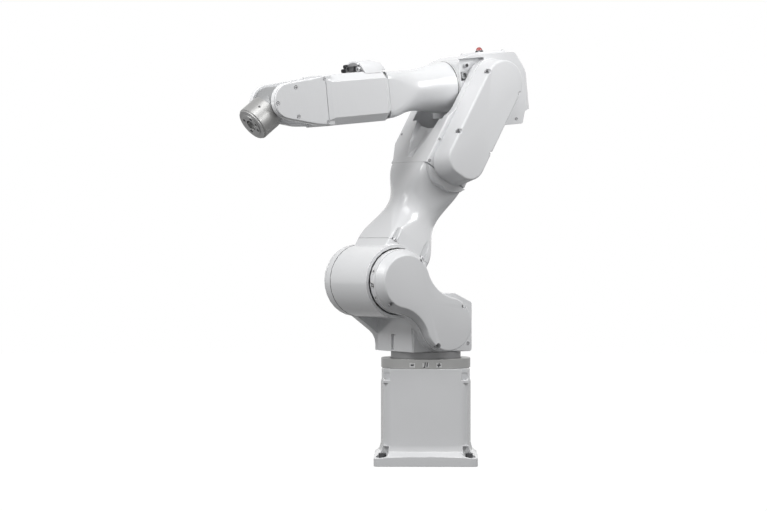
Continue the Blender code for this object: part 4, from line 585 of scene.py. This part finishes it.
def belt_cover(node, body, place, outline, low, high, soft, floor, pockets):
    """A moulded cover from its seat at low to its face at high, hollow behind, with soft its rounded edge. Screw
    pockets run down to floor in its edge, and in the hollow a wall stands round each of them."""
    name = node + "_shell"

    def hole(u, v, reach_u, reach_v, grow):
        """A round-ended slot from the screw's place out through the edge, carried along Y."""
        ring = band((u, v), (u + reach_u, v + reach_v), POCKET_RADIUS + grow)
        rows = np.stack([along("Y", *ring.T, height) for height in (floor - grow, high + 0.004)])
        return Shape(place).grid(rows).mesh("pocket")

    shell = Shape(place).grid(cover_rows(outline, low, high, soft, 0.0)).mesh(name)
    room = Shape(place).grid(cover_rows(outline, low - 0.002, high - COVER_WALL, soft, COVER_WALL)).mesh(name)
    screws = Shape(place)
    for pocket in pockets:
        shell = sunk(shell, hole(*pocket, 0.0))
        room = sunk(room, hole(*pocket, POCKET_WALL))
        screws.grid(screw("Y", pocket[:2], floor, 1, 0.0029, 0.0032))
    shell = sunk(shell, room)
    creased(shell, 34)
    settle(name, shell, body, cover_white, "white_cover", node)
    # The screws in the cover's pockets take the darker plate metal: painted shade down in the pockets.
    settle(node + "_screws", screws.mesh("screws"), body, plate_metal, "dark_steel")


# On the shoulder, forward and up
J2_AXIS = (SHOULDER_OFFSET, SHOULDER_HEIGHT)
J2_MOTOR = (0.014, 0.246)


def j2_outline(draft, inset):
    """Two lobes, about the shoulder axis and about its motor. Over the cover's height the first gets 8 mm smaller
    and the hollows between them 4 mm larger. inset draws the whole outline in."""
    first, second = 0.0543 - 0.008 * draft - inset, 0.0465 - inset
    return lobes(J2_AXIS, first, J2_MOTOR, second, 0.062 + 0.004 * draft + inset)


def j3_outline(draft, inset):
    """A round end about J3, and a lower end with two rounder corners. Over the cover's height the sides lean in by
    3 mm and the lower end by 8.5 mm. inset draws the whole outline in."""
    half = 0.0415 - 0.003 * draft - inset
    low, corner = J3_MOTOR - 0.0425 + 0.0085 * draft + inset, 0.031 - inset
    quarter = np.linspace(0, np.pi / 2, 16)
    parts = []
    for u, v, radius, start in ((half - corner, low + corner, corner, -np.pi / 2),
                                (0.0, UPPER_ARM_LENGTH, half, 0.0),
                                (0.0, UPPER_ARM_LENGTH, half, np.pi / 2),
                                (corner - half, low + corner, corner, np.pi)):
        angle = start + (quarter[1:] if start == np.pi / 2 else quarter)
        parts.append(np.stack([u + radius * np.cos(angle), v + radius * np.sin(angle)], axis=-1))
    return np.concatenate(parts)


def covers():
    """The two belt covers. Each pocket has its screw's place and the way that it runs out of the cover's edge."""
    pockets = []
    for centre, radius, angle in ((J2_AXIS, 0.0495, -52), (J2_AXIS, 0.0475, 131), (J2_MOTOR, 0.0435, -58),
                                  (J2_MOTOR, 0.0425, 134)):
        way = np.array((math.cos(math.radians(angle)), math.sin(math.radians(angle))))
        pockets.append((*(np.array(centre) + way * radius), *(way * 0.014)))
    belt_cover("j2_belt_cover", "shoulder", SHOULDER, j2_outline,
               low=0.0803, high=0.098, soft=0.003, floor=0.0885, pockets=pockets)
    pockets = [(u, height, math.copysign(0.012, u), 0.0) for u in (0.0375, -0.0375) for height in (0.398, 0.277)]
    belt_cover("j3_belt_cover", "upper_arm", ARM, j3_outline,
               low=0.0623, high=0.103, soft=0.004, floor=0.0915, pockets=pockets)


# Along and above the forearm's axis
COVER_SCREWS = ((0.4250, -0.0025), (0.3875, 0.0215), (0.3872, -0.0278), (0.3300, 0.0320), (0.3300, -0.0410))


def six_round(centre, radius, start=0.0):
    """Six places evenly round a circle: its centre plus radius times the cosine and sine of each angle."""
    return [(centre[0] + radius * math.cos(angle), centre[1] + radius * math.sin(angle))
            for angle in np.arange(6) * math.pi / 3 + start]


def small_screws():
    """The screws that show on the castings and covers, half sunk in the faces that they sit in. Each row has an
    axis, the screws' places across it, the face's place, the way that they look along the axis, and their radius."""
    head = 0.0024
    groups = (
        ("shoulder", SHOULDER, (("Y", ((-0.0493, 0.2108),), 0.0600, 1, 0.0030),
                                ("X", product((-0.044, 0.046), (0.209, 0.270)), -0.0580, -1, 0.0026),
                                ("Y", six_round(J2_AXIS, 0.053), -0.0783, -1, 0.0030))),
        ("upper_arm", ARM, (("Y", ((0.0458, 0.2580),), 0.0620, 1, 0.0022),
                            ("Y", ((0.0452, 0.2155),), 0.0620, 1, 0.0026),
                            ("X", ((-0.0640, 0.2700),), 0.0500, 1, 0.0022),
                            ("Y", six_round((0.0, UPPER_ARM_LENGTH), 0.033, 0.3), -0.0833, -1, 0.0026))),
        ("elbow", ELBOW, (("Y", ((-0.0567, -0.0665),), 0.0457, 1, 0.0028),
                          ("X", product((-0.030, -0.004), (-0.037, -0.003)), -0.0924, -1, 0.0022),
                          ("Z", product((-0.052, -0.002), (-0.027, 0.027)), 0.0568, 1, 0.0022))),
        ("forearm", ELBOW, (("Y", COVER_SCREWS, 0.0446, 1, 0.0028), ("Y", COVER_SCREWS, -0.0446, -1, 0.0028))),
        ("base", BASE, (("X", product((-0.046, 0.046), (0.046, 0.134)), -0.0770, -1, 0.0022),)),
    )
    for body, place, rows in groups:
        shape = Shape(place)
        for axis, centres, face, way, radius in rows:
            for centre in centres:
                shape.grid(screw(axis, centre, face - way * head / 2, way, radius, head))
        settle(body + "_screws", shape.mesh(body + "_screws"), body, screw_steel, "dark_steel")


def cover_pockets(way):
    """Round pockets for the side covers' screws."""
    profile = [(0.0037, way * 0.0440), (0.0037, way * 0.0480)]
    return [Shape(ELBOW).grid(turned(profile, "Y", place, 28)).mesh("pocket") for place in COVER_SCREWS]


# The faces of the ring and of the cheek's rim, and the middles of the marks on them: a height and a place along Y
RING_RADIUS = 0.0788
RING_MARKS = 0.1745
RIM_RADIUS = 0.0564
RIM_MARKS = 0.0738


def axis_marks():
    """The marks of the first two axes, on pale labels. They are wrapped on the ring and on the cheek's rim: the
    distance along the line of words over the radius gives the angle."""
    def on_ring(start):
        def bend(u, v, w):
            angle = start + u / RING_RADIUS
            radius = RING_RADIUS + w
            return np.stack([radius * np.cos(angle), radius * np.sin(angle), RING_MARKS + v], axis=-1)
        return bend

    def on_rim(start):
        def bend(u, v, w):
            angle = start - u / RIM_RADIUS
            radius = RIM_RADIUS + w
            return np.stack([J2_AXIS[0] + radius * np.cos(angle), RIM_MARKS + v,
                             J2_AXIS[1] + radius * np.sin(angle)], axis=-1)
        return bend

    marks = (("J1", 0.0098, BASE, on_ring(0.0), "base"),
             ("-", 0.0165, BASE, on_ring(-0.30), "base"),
             ("+", 0.012, BASE, on_ring(0.295), "base"),
             ("J2", 0.0100, SHOULDER, on_rim(-0.09), "shoulder"),
             ("+", 0.0085, SHOULDER, on_rim(0.32), "shoulder"),
             ("-", 0.0125, SHOULDER, on_rim(-0.51), "shoulder"))
    for number, (words, size, place, bend, body) in enumerate(marks, 1):
        length = 0.0115 if words[0] == "J" else 0.0100
        upward = np.array((-1, 1, 1, -1)) * min(size, 0.0105) * 0.38
        outward = np.array((-1, -1, 0.2, 0.2)) * 0.0002
        rows = [bend(np.full(4, u), upward, outward) for u in np.linspace(-0.5, 0.5, 9) * length]
        label = Shape(place).grid(np.stack(rows)).mesh("label")
        settle(f"axis_label_{number}", label, body, mark_white, "white_cover")
        settle(f"axis_mark_{number}", text_shape(words, size, place, bend), body, ink, "black_plastic")


def recess(low, high):
    """A block that cuts a recess in the shoulder's leg: a box along X between two corners, drawn in at its foot."""
    soft = 0.0004
    (w0, u0, v0), (w1, u1, v1) = low, high
    rings = []
    for inset, depth in ((0.0, w0), (0.0, w1 - math.copysign(soft, w1 - w0)), (soft, w1)):
        u = np.array((u0 + inset, u1 - inset, u1 - inset, u0 + inset))
        v = np.array((v0 + inset, v0 + inset, v1 - inset, v1 - inset))
        rings.append(along("X", u, v, depth))
    return Shape(SHOULDER).grid(np.stack(rings)).mesh("recess")


def dome_fittings():
    """The plate on the front of the connector dome, with its plug, two screws and two round fittings. The plate's
    outline is an oval arch."""
    arch = np.linspace(0, np.pi, 40)
    rows = []
    for grow, place in ((0.90, 0.2442), (0.90, 0.2448), (0.88, 0.2450)):
        across = 0.040 * grow * np.cos(arch)
        upward = np.maximum(0.030 + 0.029 * grow * np.sin(arch), 0.0398)
        rows.append(along("X", across, upward, place))
    plate = Shape(ELBOW).grid(np.stack(rows)).mesh("dome_plate")
    settle("dome_plate", plate, "forearm", plate_metal, "grey_casting")
    plug = Shape(ELBOW)
    ring = np.array([(-0.0125, 0.0415), (0.0085, 0.0415), (0.0105, 0.0495), (-0.0145, 0.0495)])
    middle = ring.mean(axis=0)
    rows = [along("X", *((ring - middle) * grow + middle).T, place)
            for grow, place in ((1.22, 0.2449), (1.22, 0.2457), (1.0, 0.2457), (1.0, 0.2500), (0.82, 0.2500),
                                (0.82, 0.2470))]
    plug.grid(np.stack(rows))
    for y in (-0.0175, 0.0135):
        plug.grid(screw("X", (y, 0.0455), 0.2450, 1, 0.0016, 0.0030))
    settle("dome_plug", plug.mesh("dome_plug"), "forearm", grey_plastic, "black_plastic")
    for number, (y, z, radius) in enumerate(((0.0215, 0.0440, 0.0046), (0.0185, 0.0525, 0.0026)), 1):
        profile = [(radius, 0.2446), (radius, 0.2485), (radius * 0.9, 0.2492), (radius * 0.55, 0.2492),
                   (radius * 0.5, 0.2460)]
        fitting = Shape(ELBOW).grid(turned(profile, "X", (y, z), 32)).mesh("fitting")
        settle(f"dome_fitting_{number}", fitting, "forearm", bright_steel, "bright_steel")


def soft_nodes():
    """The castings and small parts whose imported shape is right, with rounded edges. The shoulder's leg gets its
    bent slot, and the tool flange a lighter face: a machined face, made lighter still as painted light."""
    slot = recess((0.070, -0.0095, 0.1990), (0.0600, -0.0020, 0.2265))
    tick = recess((0.070, -0.0030, 0.2240), (0.0645, 0.0045, 0.2265))
    softened("base_casting", 0.0012, paint_white, "white_paint")
    for number in range(1, 5):
        softened(f"base_bolt_{number}", 0.0004, dark_steel, "dark_steel")
    softened("j1_ring", 0.0004, ring_metal, "machined_aluminium")
    # The turntable takes the darker plate metal instead of the ring's: painted shade, for the shade that it lies in.
    softened("turntable", 0.0006, plate_metal, "machined_aluminium")
    softened("shoulder_casting", 0.0014, paint_white, "white_paint", carve=(slot, tick))
    softened("shoulder_rear_cover", 0.0006, cover_white, "white_cover")
    softened("j2_bearing_cap", 0.0006, paint_white, "white_paint", sharp=40)
    softened("arm_lower_casting", 0.0010, paint_white, "white_paint")
    softened("arm_fork_casting", 0.0012, paint_white, "white_paint")
    softened("j3_far_cover", 0.0006, paint_white, "white_paint", sharp=40)
    softened("elbow_casting", 0.0010, paint_white, "white_paint")
    softened("elbow_top_cover", 0.0006, cover_white, "white_cover")
    softened("elbow_rear_cover", 0.0005, cover_white, "white_cover")
    softened("elbow_connector", 0.0003, cast_grey, "dark_steel")
    softened("elbow_air_port", 0.0003, cover_white, "white_cover")
    softened("forearm_body", 0.0010, paint_white, "white_paint")
    softened("forearm_near_cover", 0.0005, cover_white, "white_cover", carve=cover_pockets(1))
    softened("forearm_far_cover", 0.0005, cover_white, "white_cover", carve=cover_pockets(-1))
    softened("connector_dome", 0.0008, cover_white, "white_cover")
    softened("dome_air_port_1", 0.0003, black_plastic, "black_plastic")
    softened("dome_air_port_2", 0.0003, black_plastic, "black_plastic")
    softened("wrist_housing", 0.0010, cast_grey, "grey_casting")
    softened("tool_flange", 0.0003, flange_metal, "machined_aluminium",
             facing=(WRIST.to_3x3() @ Vector((1, 0, 0)), flange_face))
    softened("connector_panel", 0.0005, cast_grey, "grey_casting")
    softened("cable_connector", 0.0004, black_plastic, "black_plastic")
    softened("user_connector", 0.0003, bright_steel, "bright_steel")
    softened("lamp_ring", 0.0003, black_plastic, "black_plastic")
    softened("lamp_lens", 0.0002, lamp_red, "lamp_red", sharp=50)


def rim(low, high, inner, outer, axis, centre, place, name):
    """A flat ring, revolved from the four corners of its section."""
    profile = [(inner, low), (outer, low), (outer, high), (inner, high)]
    return Shape(place).grid(turned(profile, axis, centre, 96)).mesh(name)


# From the wrist's centre: the flange's edge, its face, and the circle of its threaded holes
FLANGE_EDGE = 0.0305
FLANGE_FACE = 0.0650
FLANGE_CIRCLE = 0.01575


def seams():
    """Dark bands of painted shade in the gaps where one link turns in the next, and the threads and the dot of the
    tool flange. The dot is a round patch wrapped on the edge: its height over the edge's radius gives the angle."""
    # Thin dark rings in the gaps at the drum and at the forearm's collar: painted shade where the gaps lie in shadow.
    drum = rim(-0.0536, -0.0531, 0.0600, 0.0641, "Y", J2_AXIS, SHOULDER, "drum_seam")
    settle("drum_seam", drum, "shoulder", painted_gap_shade, "black_plastic")
    collar = rim(0.0596, 0.0607, 0.0420, 0.0458, "X", (0.0, 0.0), ELBOW, "collar_seam")
    settle("collar_seam", collar, "elbow", painted_gap_shade, "black_plastic")
    thread = [(0.0029, FLANGE_FACE - 0.0004), (0.0029, FLANGE_FACE + 0.00015), (0.0021, FLANGE_FACE + 0.0002),
              (0.0017, FLANGE_FACE - 0.0010), (0.0017, FLANGE_FACE - 0.0030)]
    holes = Shape(WRIST)
    for angle in np.radians((45, 135, 225, 315)):
        centre = (FLANGE_CIRCLE * math.cos(angle), FLANGE_CIRCLE * math.sin(angle))
        holes.grid(turned(thread, "X", centre, 24))
    settle("flange_threads", holes.mesh("flange_threads"), "flange", dark_steel, "dark_steel")
    turn = np.linspace(0, 2 * np.pi, 25)[:-1]
    rows = []
    for lift, radius in ((0.0, 0.0020), (0.00012, 0.0020), (0.00022, 0.0016)):
        angle = math.radians(44.7) + radius * np.sin(turn) / FLANGE_EDGE
        rows.append(np.stack([0.0426 + radius * np.cos(turn), (FLANGE_EDGE + lift) * np.cos(angle),
                              (FLANGE_EDGE + lift) * np.sin(angle)], axis=-1))
    dot = Shape(WRIST).grid(np.stack(rows)).mesh("flange_dot")
    settle("flange_dot", dot, "flange", black_plastic, "black_plastic")


def bevels():
    """The slanted strips between the forearm's body and its side covers, and the release collar of the elbow's air
    fitting. Each strip is a wedge that tapers from the body's face to the cover's."""
    for side, way in (("near", 1), ("far", -1)):
        rows = []
        for x, low, high, half in ((0.3100, 0.0468, 0.04754, 0.0300), (0.3277, 0.0422, 0.0454, 0.0335)):
            across = way * np.array((low, high, high, low))
            rows.append(along("X", across, np.array((-1, -1, 1, 1)) * half - BODY_DROP, x))
        strip = Shape(ELBOW).grid(np.stack(rows)).mesh("bevel")
        settle(f"body_bevel_{side}", strip, "forearm", paint_white, "white_paint")
    profile = [(0.0031, 0.0420), (0.0031, 0.0430), (0.0027, 0.0434), (0.0019, 0.0434), (0.0016, 0.0405)]
    collar = Shape(ELBOW).grid(turned(profile, "Y", (0.037, 0.035), 32)).mesh("port_collar")
    settle("port_collar", collar, "elbow", black_plastic, "black_plastic")


# From the first axis outwards: the notch beside the ring and its wall, the wall and the outer edge of the screws'
# pockets, and the screws
NOTCH = 0.0604
NOTCH_WALL = 0.0618
POCKET = 0.0622
POCKET_EDGE = 0.0745
SCREW = 0.075


def pocket_walls():
    """The walls behind the base's corner pockets, made for one corner and turned to the other three. About each
    screw stands a hollow quarter circle, and beside the ring the inner corner of the notch."""
    walls = Shape(BASE)
    quarter = np.linspace(np.pi, 1.5 * np.pi, 14)
    hollow = np.stack([SCREW + 0.0112 * np.cos(quarter), SCREW + 0.0112 * np.sin(quarter)], axis=-1)
    blocks = [(np.concatenate([hollow, [(SCREW, POCKET), (POCKET, POCKET), (POCKET, SCREW)]]), 0.0032, 0.034)]
    for low, u, v, seat, top in ((POCKET, POCKET_EDGE, POCKET_EDGE, 0.0341, 0.0355),
                                 (NOTCH, NOTCH_WALL, NOTCH_WALL, 0.1440, 0.1598),
                                 (NOTCH, POCKET_EDGE, NOTCH_WALL, 0.1440, 0.1598),
                                 (NOTCH, NOTCH_WALL, POCKET_EDGE, 0.1440, 0.1598),
                                 (NOTCH, POCKET_EDGE, POCKET_EDGE, 0.1440, 0.1475)):
        blocks.append((np.array([(low, low), (u, low), (u, v), (low, v)]), seat, top))
    for turn in range(4):
        around = np.array(Matrix.Rotation(turn * math.pi / 2, 3, "Z"))
        for outline, seat, top in blocks:
            walls.grid(np.stack([along("Z", *outline.T, height) for height in (seat, top)]) @ around.T)
    settle("pocket_walls", walls.mesh("pocket_walls"), "base", paint_white, "white_paint")


# The share of white that the world gives, and how strongly the floor shows white to the eye and in gloss
ROOM_LIGHT = 0.235
FLOOR_WHITE = 1.185
FLOOR_TO_EYE = 0.84
FLOOR_IN_GLOSS = 0.30


def room():
    """Level light from the world, which the camera, glass and gloss see as plain white."""
    world = bpy.data.worlds.new("studio")
    bpy.context.scene.world = world
    tree = Tree(world)
    eye, through, gloss = tree.rays("Camera", "Transmission", "Glossy")
    level = ROOM_LIGHT + eye.most(through).most(gloss) * (1 - ROOM_LIGHT)
    background = tree.nodes["Background"]
    background.inputs["Color"].default_value = tone(1, 1, 1)
    tree.links.new(level.socket, background.inputs["Strength"])


def lamps():
    """Three soft lamps: to the right and left in front of the arm, and above it. Each has its place, the height
    that it aims at over the base, its size and its power."""
    for name, place, height, size, power in (("right", (0.84, 1.20, 1.42), 0.60, (0.7, 0.7), 15.5),
                                             ("left", (0.78, -1.20, 1.36), 0.60, (0.8, 0.8), 16),
                                             ("above", (0.95, -0.10, 1.95), 0.55, (1.1, 0.7), 8)):
        light = bpy.data.lights.new(name, "AREA")
        light.shape = "RECTANGLE"
        light.size, light.size_y = size
        light.energy = power
        lamp = bpy.data.objects.new(name, light)
        lamp.location = place
        lamp.rotation_euler = (Vector((0, 0, height)) - Vector(place)).to_track_quat("-Z", "Y").to_euler()
        bpy.context.scene.collection.objects.link(lamp)


def ground():
    """A flat pale floor. It keeps the arm's shadow, and shows mostly white to the camera and faintly in gloss."""
    side = np.linspace(-4, 4, 9)
    across, upward = np.meshgrid(side, side, indexing="ij")
    flat = np.stack([across, upward, np.full_like(across, -0.0005)], axis=-1)
    mesh = Shape(BASE).grid(flat, closed=False).mesh("floor")
    finish = Finish("floor_pale", {"Roughness": 0.8})
    cloud = finish.grain(1.5, 2.0)
    finish.feed("Base Color", finish.mixed(cloud, tone(0.11, 0.11, 0.11), tone(0.13, 0.13, 0.13)))
    eye, through, gloss = finish.rays("Camera", "Transmission", "Glossy")
    share = (eye.most(through) * FLOOR_TO_EYE).most(gloss * FLOOR_IN_GLOSS)
    white = finish.node("ShaderNodeEmission", {}, {"Color": tone(1, 1, 1), "Strength": FLOOR_WHITE})
    shader = Value(finish, finish.shader.outputs[0])
    surface = finish.node("ShaderNodeMixShader", {}, {0: share, 1: shader, 2: white})
    finish.links.new(surface.socket, finish.nodes["Material Output"].inputs["Surface"])
    mesh.materials.append(finish.material)
    floor = bpy.data.objects.new("floor", mesh)
    bpy.context.scene.collection.objects.link(floor)


def camera():
    """The photograph's view: level with the arm's middle, from the front, with the first axis right of centre. It
    looks along -X, tipped down and turned left by a little."""
    down, left = 0.38, 1.0054
    lens = bpy.data.cameras.new("camera")
    lens.lens = 112.97
    lens.sensor_width = 36
    lens.clip_end = 50
    eye = bpy.data.objects.new("camera", lens)
    eye.location = (4.2377, 0.0, 0.3919)
    eye.rotation_euler = (math.radians(90 - down), 0.0, math.radians(90 + left))
    bpy.context.scene.collection.objects.link(eye)
    bpy.context.scene.camera = eye


bpy.context.scene.view_settings.view_transform = "Standard"
camera()
room()
lamps()
ground()
dress_nodes()
soft_nodes()
arm_neck()
forearm_throat()
covers()
small_screws()
axis_marks()
dome_fittings()
pocket_walls()
bevels()
seams()
